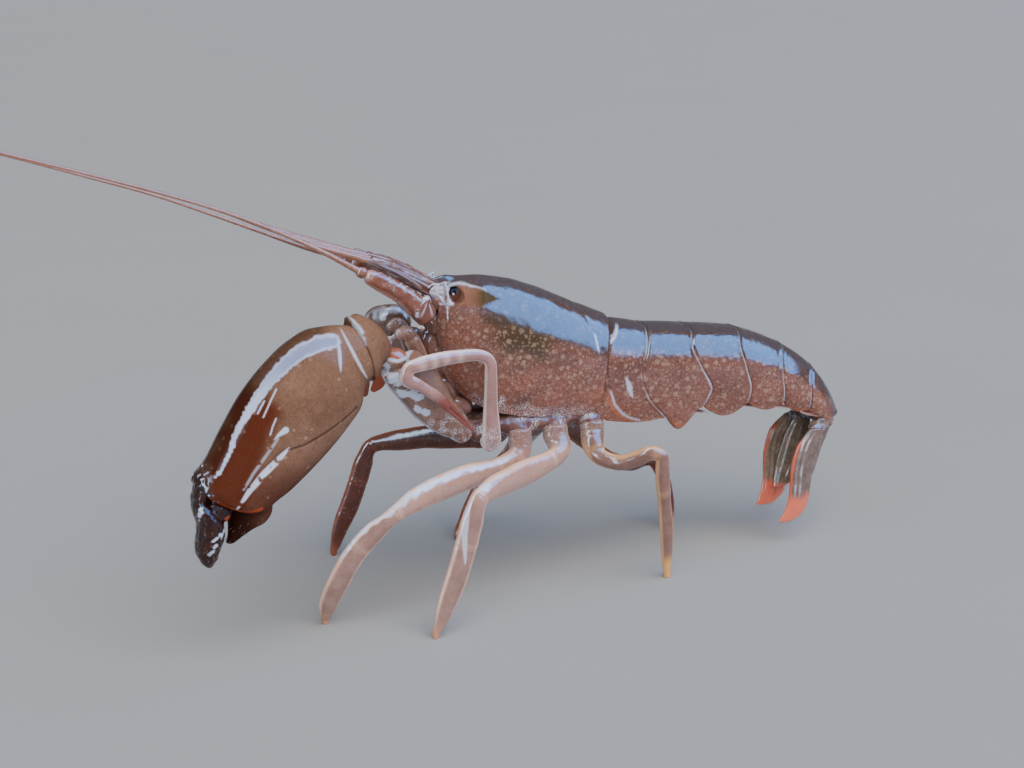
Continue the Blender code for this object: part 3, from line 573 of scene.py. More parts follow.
SHELL = shell_finish()
CLAW = claw_finish("claw_skin", (0.158, 0.082, 0.053), (0.258, 0.145, 0.100))
ARM = claw_finish("arm_skin", (0.200, 0.105, 0.078), (0.300, 0.170, 0.135))
DARK_CLAW = dark_claw_finish()
LEG = leg_finish("leg_skin", (0.39, 0.225, 0.185), (0.94, 0.60, 0.46), (0.60, 0.30, 0.16))
LAST_LEG = leg_finish("leg_skin_last", (0.29, 0.155, 0.118), (0.88, 0.50, 0.25), (0.85, 0.45, 0.14))
# A darkened copy of the leg skin for the right legs: painted shade.
SHADED_LEG = leg_finish("leg_skin_shaded", (0.135, 0.040, 0.020), (0.36, 0.110, 0.055), (0.36, 0.10, 0.04))
PALE_LEG = leg_finish("leg_skin_pale", (0.44, 0.235, 0.215), (1.0, 0.84, 0.80), (0.19, 0.034, 0.018))
SOCKET = leg_finish("socket_skin", (0.165, 0.070, 0.052), (0.40, 0.24, 0.19), (0.34, 0.20, 0.15), 0.2)
MOUTH = leg_finish("mouth_skin", (0.26, 0.130, 0.100), (0.46, 0.28, 0.23), (0.34, 0.20, 0.15))
FEELER = feeler_finish("feeler_skin", (0.38, 0.170, 0.105), (0.46, 0.24, 0.17), (0.15, 0.058, 0.034))
STALK = feeler_finish("stalk_skin", (0.25, 0.115, 0.080), (0.17, 0.078, 0.052), (0.045, 0.020, 0.015))
BASE = feeler_finish("feeler_base_skin", (0.26, 0.092, 0.060), (0.18, 0.066, 0.043), (0.08, 0.03, 0.02),
                     tip=(0.66, 0.30, 0.20))
FAN = fan_finish("fan_skin", (0.142, 0.094, 0.076), (0.235, 0.158, 0.134))
# A lightened copy of the fan skin for the right side: painted light against the shade there.
LIGHTENED_FAR_FAN = fan_finish("fan_skin_far_lightened", (0.220, 0.160, 0.110), (0.345, 0.255, 0.185))
EYE = eye_finish()
CORE = plain_finish("head_core_skin", (0.24, 0.105, 0.070), (0.16, 0.070, 0.045), 0.35, 0.8)
BRISTLE = plain_finish("bristle_skin", (0.42, 0.26, 0.19), (0.30, 0.16, 0.11), 0.4, 0.5)


# Head and trunk shield: back line x, z; lower line x, z; half width; forward lean at mid height.
CARAPACE_SECTIONS = [
    (-6.15, 28.15, -7.1, 23.6, 2.3, -0.35), (-5.3, 28.6, -6.9, 20.6, 3.2, -0.3),
    (-3.2, 28.65, -4.9, 17.4, 3.85, -0.2), (-0.2, 28.1, -1.4, 15.5, 4.3, 0.0),
    (2.8, 26.95, 1.8, 14.95, 4.45, 0.1), (5.8, 25.45, 4.8, 14.75, 4.3, 0.0),
    (8.85, 23.95, 7.2, 14.65, 3.95, -0.45),
]
HOOD_CENTRE, HOOD_RADII = (-4.2, 1.65, 27.2), (1.75, 1.25, 1.2)
EYE_CENTRE, EYE_RADIUS = (-5.38, 1.78, 27.60), 0.63
BACK_LINE = [(-6.15, 28.15), (-5.3, 28.6), (-3.2, 28.65), (-0.2, 28.1), (2.8, 26.95), (5.8, 25.45),
             (9.2, 23.45), (12.4, 22.7), (16.75, 22.1), (21.5, 21.35), (26.1, 19.3), (29.25, 16.85),
             (31.95, 12.1)]


def back_height(x):
    return np.interp(x, *zip(*BACK_LINE))


def back_mask(skin):
    near_top = ease(2.6, 1.2, back_height(skin.x) - skin.z) * ease(-0.2, 0.3, skin.nz + skin.nx)
    return ease(2.2, 1.75, np.abs(skin.y) + skin.lumps(1.2, 4) * 0.18) * near_top


def dusk_mask(skin, reach):
    """The darker upper flank, reach millimetres down from the back line."""
    return ease(reach, reach - 0.9, back_height(skin.x) - skin.z + 0.2 * skin.lumps(1.2, 9))


def carapace_grid(rings=120, sides=160):
    rows = np.array(CARAPACE_SECTIONS, float)
    places = reaches(np.stack([rows[:, 0] + rows[:, 2], rows[:, 1] + rows[:, 3]], 1) / 2)
    share = np.linspace(0, 1, rings)
    top_x, top_z, low_x, low_z, half, lean = follow(rows, places, share * places[-1]).T[:, :, None]
    turn = math.pi - 2 * math.pi * np.arange(sides) / sides
    power = np.where(np.cos(turn) > 0, 0.92, 0.60)
    across = np.sign(np.sin(turn)) * np.abs(np.sin(turn)) ** power
    drop = (1 - np.cos(turn)) / 2
    fold = np.minimum(drop, 0.93) - 1.05 * np.clip(drop - 0.93, 0, 1)
    x = top_x + (low_x - top_x) * fold + lean * np.sin(math.pi * drop)
    return np.stack([x, half * across, top_z + (low_z - top_z) * fold], axis=2), share, across, drop


def swell_hoods(grid):
    radii = np.array(HOOD_RADII)
    for side, _ in SIDES:
        centre = np.array(HOOD_CENTRE) * (1, side, 1)
        reach = (grid - centre) / radii
        far = np.linalg.norm(reach, axis=2, keepdims=True)
        swollen = centre + radii * reach / np.maximum(far, 1e-6) * (far**7 + 1) ** (1 / 7)
        grid = np.where(grid[:, :, 1:2] * side > 0.4, swollen, grid)
    return grid


def shell_end(edge, inner, deep, wall=0.26):
    """Rows of points that round a skin's rim and run back inside as a wall, deep millimetres deep."""
    along, centre = unit(edge - inner), edge.mean(axis=0)
    towards = unit(centre - edge)
    lip, inside = edge + along * 0.10 + towards * wall * 0.5, edge + towards * wall
    deeper = edge + towards * (wall + 0.1) - along * deep
    floor = centre + (deeper - centre) * 0.55 - along * deep * 0.1
    pole = np.repeat(floor.mean(axis=0)[None], len(edge), axis=0)
    return np.stack([lip, inside, (inside + deeper) / 2, deeper, floor, pole])


# Patches of painted sparkle on the shell's lower flank: x, z and radius.
SPARKLE_PATCHES = [(-2.1, 17.9, 0.6), (0.2, 16.5, 1.0), (1.6, 16.0, 0.9), (3.3, 15.9, 0.7), (4.9, 15.5, 0.6)]
# The clear patch beside the eye and the green one on the flank: middle x, z; cosine and sine of the slope.
CLEAR_PATCH, GREEN_PATCH = (-4.0, 27.35, 0.98, 0.17), (0.0, 23.3, 0.94, 0.34)
# Lines of painted highlight: a glint near the shell's rear edge and the bright rim over the eye.
REAR_GLINT = [(6.89, 22.9), (6.96, 22.1), (7.03, 21.4)]
HOOD_RIM = [(-6.0, 27.2), (-5.98, 27.8), (-5.7, 28.2), (-5.1, 28.4), (-4.3, 28.36),
            (-3.4, 28.05), (-2.6, 27.7)]
# The shell's front edge in side view, z and x; a painted highlight runs along it.
FRONT_EDGE = [(15.5, -1.6), (17.4, -5.1), (20.6, -6.95), (23.1, -7.3), (24.5, -7.66), (26.0, -7.5),
              (27.3, -7.07)]


def build_carapace():
    grid, share, across, drop = carapace_grid()
    grid = swell_hoods(grid)
    y, top = grid[:, :, 1].copy(), (drop < 0.3)[None]
    beak = np.clip(1 - share / 0.16, 0, 1)[:, None] ** 1.6 * (bell(y, 0, 0.42) * top)
    grid[:, :, 0] -= 0.60 * beak
    grid[:, :, 2] += 0.48 * beak
    grid[:, :, 2] += 0.16 * bell(y, 0, 0.3) * top * ease(0.34, 0.1, share)[:, None]
    grid[:, :, 2] -= 0.22 * bell(np.abs(y), 0.75, 0.32) * top * ease(0.24, 0.05, share)[:, None]
    out = np.stack([np.zeros_like(across), across, np.full_like(across, -0.3)], 1)
    grid = grid + bell(drop, 0.925, 0.012)[None, :, None] * out[None] * 0.12
    hem = grid[:, np.argmin(np.abs(drop[:len(drop) // 2] - 0.9))]
    front, rear = shell_end(grid[0], grid[1], 1.3), shell_end(grid[-1], grid[-2], 0.8)

    def relief(skin):
        gill = bell(skin.z - (16.9 + 0.15 * skin.x), 0, 0.22) * ease(-4.0, 0.0, skin.x)
        groove = bell(skin.x + 0.35 * (skin.z - 22) - 7.2, 0, 0.25) * ease(19, 21, skin.z)
        return (0.018 * skin.lumps(1.1, 1) + 0.007 * skin.lumps(0.35, 2) - 0.05 * gill - 0.03 * groove
                + 0.03 * ease(1.6, 0.4, skin.above(hem)) * skin.lumps(0.3, 6))

    def masks(skin):
        x, z, aside, above = skin.x, skin.z, np.abs(skin.y), skin.above(hem)
        along, over = skin.turned(*CLEAR_PATCH)
        green_along, green_over = skin.turned(*GREEN_PATCH)
        green = np.hypot((green_along - 0.3) / 3.6, green_over / 2.1)
        outer = (aside > 1.2) & (aside < 3.6)
        clear = np.hypot(along / 2.45, over / (0.66 * ease(2.9, 0.6, along) + 0.08))
        clear = ease(1.12, 0.9, clear) * outer
        sparkly = most(*(ease(1.3, 0.5, skin.away(a, b) / r) for a, b, r in SPARKLE_PATCHES))
        hood_gap, hood_way = skin.place(HOOD_RIM)
        front_edge = np.interp(z, *zip(*FRONT_EDGE))
        return {"back": back_mask(skin),
                "olive": ease(1.25, 0.35, green + 0.2 * skin.lumps(1.0, 7)),
                "dusk": np.maximum(dusk_mask(skin, 4.1) * ease(-4.4, -3.0, x), 0.24 * ease(-0.5, -3.5, x)),
                "window": ease(0.74, 0.60, skin.away(EYE_CENTRE[0], EYE_CENTRE[2])) * outer,
                "blush": clear * ease(1.35, 0.2, along),
                "moss": clear * ease(-0.9, 1.7, along),
                # Painted highlights along the front edge, over the eye and near the rear edge.
                "rim": 0.9 * bell(x - front_edge, 0.05, 0.12) * (aside > 1.5)
                + ease(0.05, -0.04, np.abs(hood_gap) - 0.10 + 0.06 * hood_way) * (aside > 0.8)
                + skin.near(REAR_GLINT, 0.12, 0.04),
                "warm": 0.2 * ease(0.35, 0.1, above)
                + 0.3 * ease(6.5, 2.0, above) * ease(-0.8, 0.3, skin.lumps(1.8, 8)),
                # Painted sparkles in patches and along the lower edge.
                "frost": np.maximum(sparkly * ease(-0.5, 0.1, skin.lumps(0.6, 11)),
                                    0.45 * ease(1.2, 0.2, above) * ease(-5.2, -3.8, x) * ease(7.0, 5.5, x))}
    make_solid("carapace_shell", SHELL, "shell", form_of(np.concatenate([front[::-1], grid, rear])),
               ["carapace"], relief, masks)


def build_eyes():
    for side, word in SIDES:
        eyeball = ball(np.array(EYE_CENTRE) * (1, side, 1), (EYE_RADIUS,) * 3, 48, 30)
        make_solid(f"eyeball_{word}", EYE, "eye", form_of(eyeball), [f"eye_{word}"], masks={
            "dark": lambda skin: ease(-0.25, 0.35, skin.nz + 0.4 * skin.nx),
            "glint": lambda skin: ease(0.987, 0.996, skin.normals @ (-0.33, 0.93 * side, 0.16))})
        stalk = ball((-4.4, 1.35 * side, 27.1), (1.1, 0.85, 0.85))
        make_solid(f"eye_stalk_{word}", CORE, "shell", form_of(stalk))


# Tail rings: the edges where they meet, at five heights from the back line down, x and z, and the
# half width there.
RING_EDGES = [
    ([(9.2, 23.45), (8.1, 21.6), (7.7, 19.6), (7.8, 17.2), (7.6, 14.8)], 3.85),
    ([(12.4, 22.7), (11.75, 20.9), (10.95, 18.8), (11.6, 16.6), (13.5, 14.3)], 3.95),
    ([(16.75, 22.1), (16.2, 20.6), (16.9, 18.6), (17.8, 16.7), (17.2, 14.9)], 3.9),
    ([(21.5, 21.35), (21.0, 19.9), (21.3, 18.2), (21.8, 16.3), (21.7, 14.6)], 3.65),
    ([(26.1, 19.3), (25.35, 18.0), (25.2, 16.7), (25.4, 15.4), (25.5, 14.0)], 3.15),
    ([(29.25, 16.85), (28.5, 15.8), (28.3, 14.8), (28.3, 13.8), (28.2, 12.85)], 2.7),
    ([(31.95, 12.1), (31.3, 11.9), (30.6, 11.75), (30.0, 11.65), (29.5, 11.6)], 2.15),
]
RING_HANG = [(0.3, 0.5, 1), (1.4, 0.38, 1.8), (1.0, 0.5, 1), (0.6, 0.5, 1), (0.4, 0.5, 1), (0.0, 0.5, 1)]
RING_SWELL = [0.06, 0.04, 0.06, 0.12, 0.12, 0.3]
PLEURON_WALL = 0.13
RIM_ROUNDING = ((0.07, 0.35), (0.05, 0.85), (-0.25, 1.05))


def arch_profile(count=250):
    """Across and drop round an arch whose side flaps hang below the belly, evenly spaced."""
    lowest = 0.8 * math.pi
    turn = np.linspace(0, lowest, 100)
    power = np.where(turn < math.pi / 2, 0.9, 0.42)
    outer = np.stack([np.sin(turn) ** power, (1 - np.cos(turn)) / (1 - math.cos(lowest))], 1)
    edge = outer[-1, 0] - PLEURON_WALL
    rest = [(edge + PLEURON_WALL * 0.6, 1.012), (edge + 0.01, 0.995), (edge - 0.01, 0.93),
            (edge - 0.04, 0.86), (edge - 0.14, 0.81), (edge * 0.5, 0.79), (0.0, 0.785)]
    right = np.concatenate([outer, rest])
    closed = np.concatenate([right, (right * (-1, 1))[::-1][1:-1], right[:1]])
    places = reaches(closed * (1.0, 1.7))
    wanted = np.linspace(0, places[-1], count, endpoint=False)
    return np.stack([np.interp(wanted, places, closed[:, 0]), np.interp(wanted, places, closed[:, 1])], 1)


def ring_grid(number, steps=46):
    (front, front_width), (rear, rear_width) = RING_EDGES[number], RING_EDGES[number + 1]
    hang, lowest, sharp = RING_HANG[number]
    across, drop = arch_profile().T
    below = np.maximum(drop - 1, 0)[:, None] * (0, -6)
    first, last = (follow(edge, np.linspace(0, 1, 5), drop) + below for edge in (front, rear))
    step = np.linspace(0, 1, steps)[:, None]
    swell = RING_SWELL[number] * np.sin(math.pi * step)
    sag = hang * np.maximum(0, np.sin(math.pi * step ** (math.log(0.5) / math.log(lowest)))) ** sharp
    width = front_width + (rear_width - front_width) * step + swell
    span = last - first
    up = unit(np.stack([-span[:, 1], span[:, 0]], 1)) * (1 - 2 * np.minimum(drop, 0.5))[:, None]
    place = first + span * step[:, :, None] + up * swell[:, :, None]
    low = sag * np.maximum(0, (drop - 0.5) / 0.5) ** 2
    return np.stack([place[..., 0], width * across, place[..., 1] - low], 2), drop


# Lines on the first ring: its lower fold, drawn orange, and painted highlights along its folds and as a glint
# on its flank.
FIRST_FOLD = [(7.8, 17.5), (8.2, 16.2), (8.9, 15.3), (9.6, 14.75), (10.65, 14.3)]
FLANK_GLINT = [(9.45, 18.9), (9.85, 17.5), (10.15, 16.7)]
TOP_FOLD = [(9.75, 23.25), (9.1, 22.45), (8.35, 21.85)]


def build_tail_rings():
    for number, (rear_line, _) in enumerate(RING_EDGES[1:]):
        grid, drop = ring_grid(number)
        steps = len(grid)
        normal = grid_normals(grid) * outward(grid)
        length = np.linalg.norm(grid[-1] - grid[0], axis=1)
        way = np.linspace(0, 1, steps)[:, None] * length
        left = length - way
        flap = ease(0.74, 0.8, drop)
        height = (0.05 * bell(left, 0.12, 0.13) - 0.014 * bell(left, 0.42, 0.14)
                  - 0.17 * (1 - 0.4 * flap) * (1 - ease(0.0, 0.32, way)))
        grid = grid + normal * height[..., None]
        front_way, rear_way = unit(grid[0] - grid[3]), unit(grid[-1] - grid[-4])
        wall = normal[-1] * (0.26 * (1 - 0.6 * flap))[:, None]
        front = [grid[0] + front_way * far - normal[0] * (0.02 * far) for far in (0.75, 0.5, 0.25)]
        rear = [grid[-1] + rear_way * out - wall * share for out, share in RIM_ROUNDING]
        hem = grid[:, np.argmax(drop)]

        # Painted highlights along each ring's rear edge, and on the first ring along its folds and on its
        # flank.
        def rim(skin):
            edge = np.interp(-skin.z, [-z for _, z in rear_line], [x for x, _ in rear_line])
            line = bell(skin.x - edge, 0.03, 0.09) * 0.9
            if number == 0:
                line = most(line, skin.near(TOP_FOLD, 0.14, 0.05),
                            0.8 * skin.near(np.array(FIRST_FOLD) + (0.25, 0.1), 0.14, 0.04),
                            0.8 * skin.leaf(FLANK_GLINT, 0.24, 17))
            return line * ease(0.1, 0.5, back_height(skin.x) - skin.z)

        def warm(skin):
            above = skin.above(hem)
            return most(ease(0.5, 0.2, above) * (0.8 + 0.2 * skin.lumps(0.7, 10)),
                        ease(1.1, 0.3, skin.away(14.3, 13.4)) * (number == 1),
                        0.9 * skin.near(FIRST_FOLD, 0.34, 0.14) * (number == 0), 0.2 * ease(4.0, 1.0, above))

        def relief(skin):
            fold = skin.place(TOP_FOLD)[0] * (skin.z > 21.5)
            return (0.010 * skin.lumps(0.9, 3) + 0.005 * skin.lumps(0.3, 5)
                    - 0.07 * bell(fold, -0.1, 0.09) * (fold != 0) * (number == 0))
        form = form_of(np.concatenate([front, grid, rear]), cap=True)
        make_solid(f"ring_{number + 1}", SHELL, "shell", form, [f"tail_ring_{number + 1}"], relief,
                   {"back": back_mask, "rim": rim, "warm": warm, "dusk": lambda skin: dusk_mask(skin, 2.7)})


PADDLE_LENGTHS = [3.0, 3.2, 3.0, 2.5, 1.9]


def build_paddles():
    """Two-branched swimming paddles under the belly, each branch edged with bristles."""
    bristles = bmesh.new()
    for number, length in enumerate(PADDLE_LENGTHS):
        front, rear = RING_EDGES[number][0][3], RING_EDGES[number + 1][0][3]
        x, belly = front[0] * 0.6 + rear[0] * 0.4, (front[1] + rear[1]) / 2 - 0.1
        for side, word in SIDES:
            y = 1.5 * side
            stem = [(x, y, belly + 1.0, 0.8, 0.6), (x + 0.1, y, belly - 0.3, 0.9, 0.6),
                    (x + 0.5, y, belly - 1.1, 0.8, 0.5)]
            grids = [tube(limb_spine(stem, (0.3, 0, 1)), 20)]
            for shift, reach, lower in ((0.55 * side, 1.0, 0.35), (-0.35 * side, 0.85, 0.0)):
                low = belly - 1.3 - lower
                blade = [(x + 0.4, y + shift * 0.3, belly - 0.95, 0.5, 0.3),
                         (x + 0.4 + length * 0.35 * reach, y + shift, low + 0.1 - length * 0.12, 1.15, 0.22),
                         (x + 0.4 + length * 0.75 * reach, y + shift, low - length * 0.2, 1.0, 0.18),
                         (x + 0.4 + length * reach, y + shift * 0.9, low - length * 0.26, 0.35, 0.12)]
                spine = limb_spine(blade, (0.35, 0, 1))
                grids.append(tube(spine, 18, 0.12, ends=(0.15, 0.2)))
                for c, b, _, r in stations(spine, np.linspace(0.3, 1, 13)):
                    for way in (-1, 1):
                        tip = c + b * way + unit(b) * way * 0.35 + r * 0.55
                        add_bristle(bristles, c + b * way * 0.95, tip)
            make_solid(f"paddle_{number + 1}_{word}", PALE_LEG, "leg", form_of(*grids))
    make_piece("paddle_bristles", BRISTLE, "leg", bristles)


# The half-closed fan, one edge point, the other edge point and the thickness, from the root down.
TELSON = [(30.9, 1.15, 11.0, 30.9, -1.15, 11.0, 1.3), (30.0, 1.2, 8.9, 30.0, -1.2, 8.9, 1.1),
          (29.1, 1.0, 6.6, 29.1, -1.0, 6.6, 0.9), (28.2, 0.7, 4.4, 28.2, -0.7, 4.4, 0.7)]
INNER_PLATE = [(30.3, 1.45, 10.9, 28.6, 1.95, 10.9, 0.7), (29.9, 1.45, 8.8, 27.6, 2.2, 8.6, 0.65),
               (29.2, 1.4, 6.5, 26.9, 2.2, 6.1, 0.6), (28.0, 1.25, 4.4, 26.4, 1.9, 3.9, 0.5)]
OUTER_PLATE = [(29.6, 2.45, 11.1, 28.3, 2.75, 11.3, 0.9), (28.7, 2.85, 9.3, 26.6, 3.0, 9.5, 0.8),
               (28.3, 2.85, 7.0, 26.0, 3.05, 7.1, 0.65), (28.2, 2.6, 4.9, 25.9, 2.95, 4.8, 0.6),
               (27.9, 2.45, 3.4, 25.5, 2.75, 3.2, 0.55), (26.7, 2.45, 2.2, 24.9, 2.6, 2.2, 0.5)]
FAN_KNOBS = ((30.2, 1.55, 11.4, 1.0, 0.65, 0.75), (29.3, 2.0, 11.1, 0.95, 0.6, 0.65),
             (28.9, 2.45, 10.9, 0.7, 0.42, 0.6), (29.5, 2.3, 11.7, 0.45, 0.3, 0.3))


def outward(grid):
    """1 where the grid's own normals point away from its middle, or -1."""
    middle = grid[len(grid) // 2]
    away = middle - middle.mean(axis=0)
    return 1.0 if (grid_normals(grid)[len(grid) // 2] * away).sum() > 0 else -1.0


def fan_plate(name, rows, node, ridges, tip_height):
    """A fan plate with lengthwise ridges at their places across it."""
    spine = blade_spine(rows)
    far, edge_line = "right" in name, np.array(rows)[::-1]

    def shape(grid, share, turns):
        relief = sum(0.10 * bell(np.cos(turns)[None], place, 0.11) for place in ridges)
        relief = relief * (ease(0.02, 0.12, share) * ease(1.0, 0.8, share))[:, None] * np.abs(np.sin(turns))
        return grid + grid_normals(grid) * outward(grid) * relief[..., None]

    def edge(skin):
        low = np.interp(skin.z, edge_line[:, 5], edge_line[:, 3])
        return ease(0.26, 0.06, skin.x - low) * ease(10.8, 9.6, skin.z) * ("outer" in node)

    # Painted highlights along some ridges of the left plates.
    def ridge_line(skin):
        way = skin.share(spine)
        centre, breadth, _, _ = spine[0](way * spine[1])
        across = ((skin.points - centre) * breadth).sum(axis=1) / (breadth ** 2).sum(axis=1)
        near = most(*(bell(across, place, 0.06) for place in ridges if place < 0))
        torn = 0.25 + 0.75 * ease(-0.1, 0.3, skin.lumps(0.8, 14))
        return near * ease(0.04, 0.15, way) * ease(0.75, 0.6, way) * torn * (not far)

    def tip(skin):
        return ease(tip_height + 0.8, tip_height - 0.5, skin.z + 0.3 * skin.lumps(0.9, 12))
    form = form_of(tube(spine, 72, 0.1, ends=(0.2, 0.3), power=(1, 0.85), shape=shape))
    # The right side's plates take the lightened copy.
    make_solid(name, LIGHTENED_FAR_FAN if far else FAN, "tail", form, [node], lambda skin: 0.012 * skin.lumps(0.5, 13),
               {"edge": edge, "rim": ridge_line, "tip": tip})
    return spine


def build_fan():
    bristles = bmesh.new()

    def fringe(spine, reach):
        c, b, _, r = next(stations(spine, [0.985]))
        for place in np.linspace(-0.9, 0.9, 14):
            add_bristle(bristles, c + b * place * 0.9, c + b * place + r * reach)
    for side, word in SIDES:
        for part, rows, ridges, tip_height, first in (("outer", OUTER_PLATE, (-0.62, -0.2, 0.3), 4.6, 0.72),
                                                      ("inner", INNER_PLATE, (-0.4, 0.3), 4.2, 0.6)):
            spine = fan_plate(f"fan_{part}_{word}", mirrored_blade(rows, side), f"tail_fan_{part}_{word}",
                              ridges, tip_height)
            for c, b, _, r in stations(spine, np.linspace(first, 0.99, 26)):
                add_bristle(bristles, c + b * 0.93, c + b + unit(b) * 0.25 + r * 0.5)
            fringe(spine, 0.75)
    fringe(fan_plate("tail_plate", TELSON, "telson", (-0.55, 0.55), 3.9), 0.7)
    make_piece("fan_bristles", BRISTLE, "tail", bristles)
    knobs = [ball((x, y * side, z), radii, 30, 20) for side, _ in SIDES for x, y, z, *radii in FAN_KNOBS]
    make_solid("fan_root", FAN, "tail", form_of(ball((30.6, 0, 11.5), (0.9, 1.3, 0.9), 36, 24), *knobs), (),
               lambda skin: 0.03 * skin.lumps(0.4, 15),
               # rim: painted highlights in pale squiggles.
               {"rim": lambda skin: 0.6 * bell(skin.lumps(0.5, 16), 0.2, 0.12)}, voxel=0.08, rounds=2)


# Walking legs: the upper half runs from the hip to the knee, the lower half from there to the floor.
LEGS = {
    "leg3_left": dict(
        upper=[(-0.3, -2.9, 14.1, 2.1, 2.0), (-0.5, -3.3, 13.0, 2.0, 1.8), (-2.4, -4.0, 12.2, 1.7, 1.4),
               (-6.5, -5.2, 11.8, 2.4, 1.5), (-10.6, -6.3, 11.0, 2.2, 1.4), (-13.1, -7.0, 10.0, 1.5, 1.2)],
        lower=[(-13.5, -7.1, 9.75, 1.5, 1.1), (-15.0, -7.0, 8.65, 1.95, 1.2),
               (-16.7, -6.7, 6.8, 2.0, 1.15), (-18.0, -6.2, 4.5, 2.0, 1.1),
               (-18.9, -5.3, 2.2, 1.75, 1.0), (-19.15, -4.8, 1.0, 1.1, 0.9)],
        foot=(-19.2, -4.5)),
    "leg4_left": dict(
        upper=[(3.0, -2.9, 14.1, 2.3, 2.0), (3.2, -3.5, 13.1, 2.1, 1.9), (2.2, -4.6, 12.4, 1.8, 1.5),
               (-1.4, -7.0, 12.2, 2.4, 1.5), (-4.4, -9.2, 12.2, 2.2, 1.4), (-6.3, -10.5, 11.8, 1.6, 1.2)],
        lower=[(-6.65, -10.7, 11.2, 1.6, 1.1), (-7.2, -10.9, 9.8, 2.0, 1.2), (-7.8, -11.0, 8.0, 2.0, 1.15),
               (-8.7, -11.0, 5.4, 2.0, 1.1), (-9.9, -11.05, 2.6, 1.65, 1.0), (-10.55, -11.1, 1.1, 1.0, 0.85)],
        foot=(-10.9, -11.1)),
    "leg5_left": dict(
        upper=[(6.5, -2.9, 14.0, 2.2, 1.9), (6.3, -3.6, 13.0, 2.1, 1.9), (6.5, -4.3, 12.0, 1.6, 1.5),
               (7.9, -5.6, 11.5, 1.4, 1.4), (9.3, -6.9, 12.1, 1.5, 1.3), (10.3, -7.8, 12.75, 1.3, 1.1)],
        lower=[(11.2, -8.0, 12.3, 1.2, 1.1), (11.3, -7.8, 10.4, 1.35, 1.1), (11.6, -7.3, 8.0, 1.2, 1.05),
               (11.9, -6.9, 5.4, 1.3, 1.0), (12.1, -6.4, 2.8, 1.1, 0.95), (12.15, -6.2, 1.2, 0.8, 0.75)],
        foot=(12.2, -6.1)),
    "leg3_right": dict(
        upper=[(-0.3, 2.9, 14.1, 2.1, 2.0), (-0.5, 3.4, 12.9, 2.0, 1.8), (-2.2, 4.6, 12.0, 1.7, 1.4),
               (-5.3, 6.8, 12.0, 2.3, 1.5), (-8.6, 8.9, 11.5, 2.1, 1.4), (-11.1, 10.4, 10.85, 1.5, 1.2)],
        lower=[(-11.6, 10.5, 10.3, 1.5, 1.1), (-12.1, 10.7, 8.9, 1.9, 1.2), (-12.7, 10.8, 7.2, 1.9, 1.15),
               (-13.6, 11.0, 4.9, 1.9, 1.1), (-14.7, 11.2, 2.5, 1.5, 1.0), (-15.15, 11.3, 1.1, 1.0, 0.85)],
        foot=(-15.4, 11.3)),
    "leg4_right": dict(
        upper=[(3.0, 2.9, 14.1, 2.3, 2.0), (3.1, 3.7, 13.0, 2.1, 1.9), (3.3, 5.3, 11.9, 1.8, 1.5),
               (3.4, 8.3, 10.4, 2.4, 1.5), (3.3, 10.9, 8.7, 2.2, 1.4), (3.0, 12.5, 7.4, 1.6, 1.2)],
        lower=[(2.6, 12.95, 6.9, 1.4, 1.1), (1.2, 13.35, 5.4, 1.6, 1.2), (0.1, 13.4, 4.0, 1.5, 1.15),
               (-1.2, 12.6, 2.5, 1.5, 1.1), (-2.4, 11.4, 1.3, 1.1, 0.95), (-2.95, 10.9, 0.8, 0.85, 0.8)],
        foot=(-3.2, 10.6)),
    "leg5_right": dict(
        upper=[(6.5, 2.9, 14.0, 2.2, 1.9), (6.8, 3.5, 12.5, 2.1, 1.9), (8.4, 4.2, 10.4, 1.6, 1.5),
               (11.2, 5.3, 8.0, 1.4, 1.4), (13.8, 6.7, 6.8, 1.5, 1.3), (15.8, 7.8, 6.6, 1.3, 1.1)],
        lower=[(16.5, 7.9, 6.2, 1.2, 1.1), (17.1, 7.5, 5.1, 1.3, 1.1), (17.3, 6.9, 3.9, 1.2, 1.05),
               (17.2, 6.1, 2.7, 1.2, 1.0), (17.0, 5.4, 1.6, 1.0, 0.9), (16.85, 5.1, 0.9, 0.8, 0.75)],
        foot=(16.8, 5.0)),
}
FOOT_FLAT = 0.6


def build_limb(name, spine, grids, finish, nodes, joints, tip, voxel=0.08, rounds=3, rough=0.010, groove=0.06,
               pale=-1, **painted):
    """One skin over a limb's overlapping forms, with a groove and a raised lip at each joint."""
    length = spine[1]

    def relief(skin):
        share = skin.share(spine)
        height = rough * skin.lumps(0.8, 21) + 0.4 * rough * skin.lumps(0.3, 22)
        for stop in joints:
            gap = (share - stop) * length
            height = height + 0.7 * groove * bell(gap, -0.28, 0.2) - groove * bell(gap, 0, 0.08)
        return height

    def masks(skin):
        share = skin.share(spine)
        centre, breadth, _, _ = spine[0](share * length)
        width = np.maximum(np.linalg.norm(breadth, axis=1), 0.05)
        # edge: painted light, lighter where light shows through the limb's thin sides.
        return {"edge": ease(0.62, 0.95, np.abs(((skin.points - centre) * breadth).sum(axis=1)) / width ** 2),
                "joint": most(*(bell((share - stop) * length, -0.2, 0.3) for stop in joints)),
                "pale": ease(pale + 0.04, pale - 0.08, share), "tip": ease(tip - 0.04, tip + 0.03, share),
                **{mask: paint(skin) for mask, paint in painted.items()}}
    make_solid(name, finish, "leg", form_of(*grids), nodes, relief, masks, voxel, rounds)


def long_gleam(skin):
    """A painted highlight: the wet strip along the upper side of a sloping leg."""
    high = skin.nz + 0.12 * skin.lumps(0.5, 53)
    return (ease(0.34, 0.5, high) * ease(0.98, 0.86, high) * skin.near_side
            * ease(4.6, 6.5, skin.z) * ease(13.2, 12.6, skin.z))


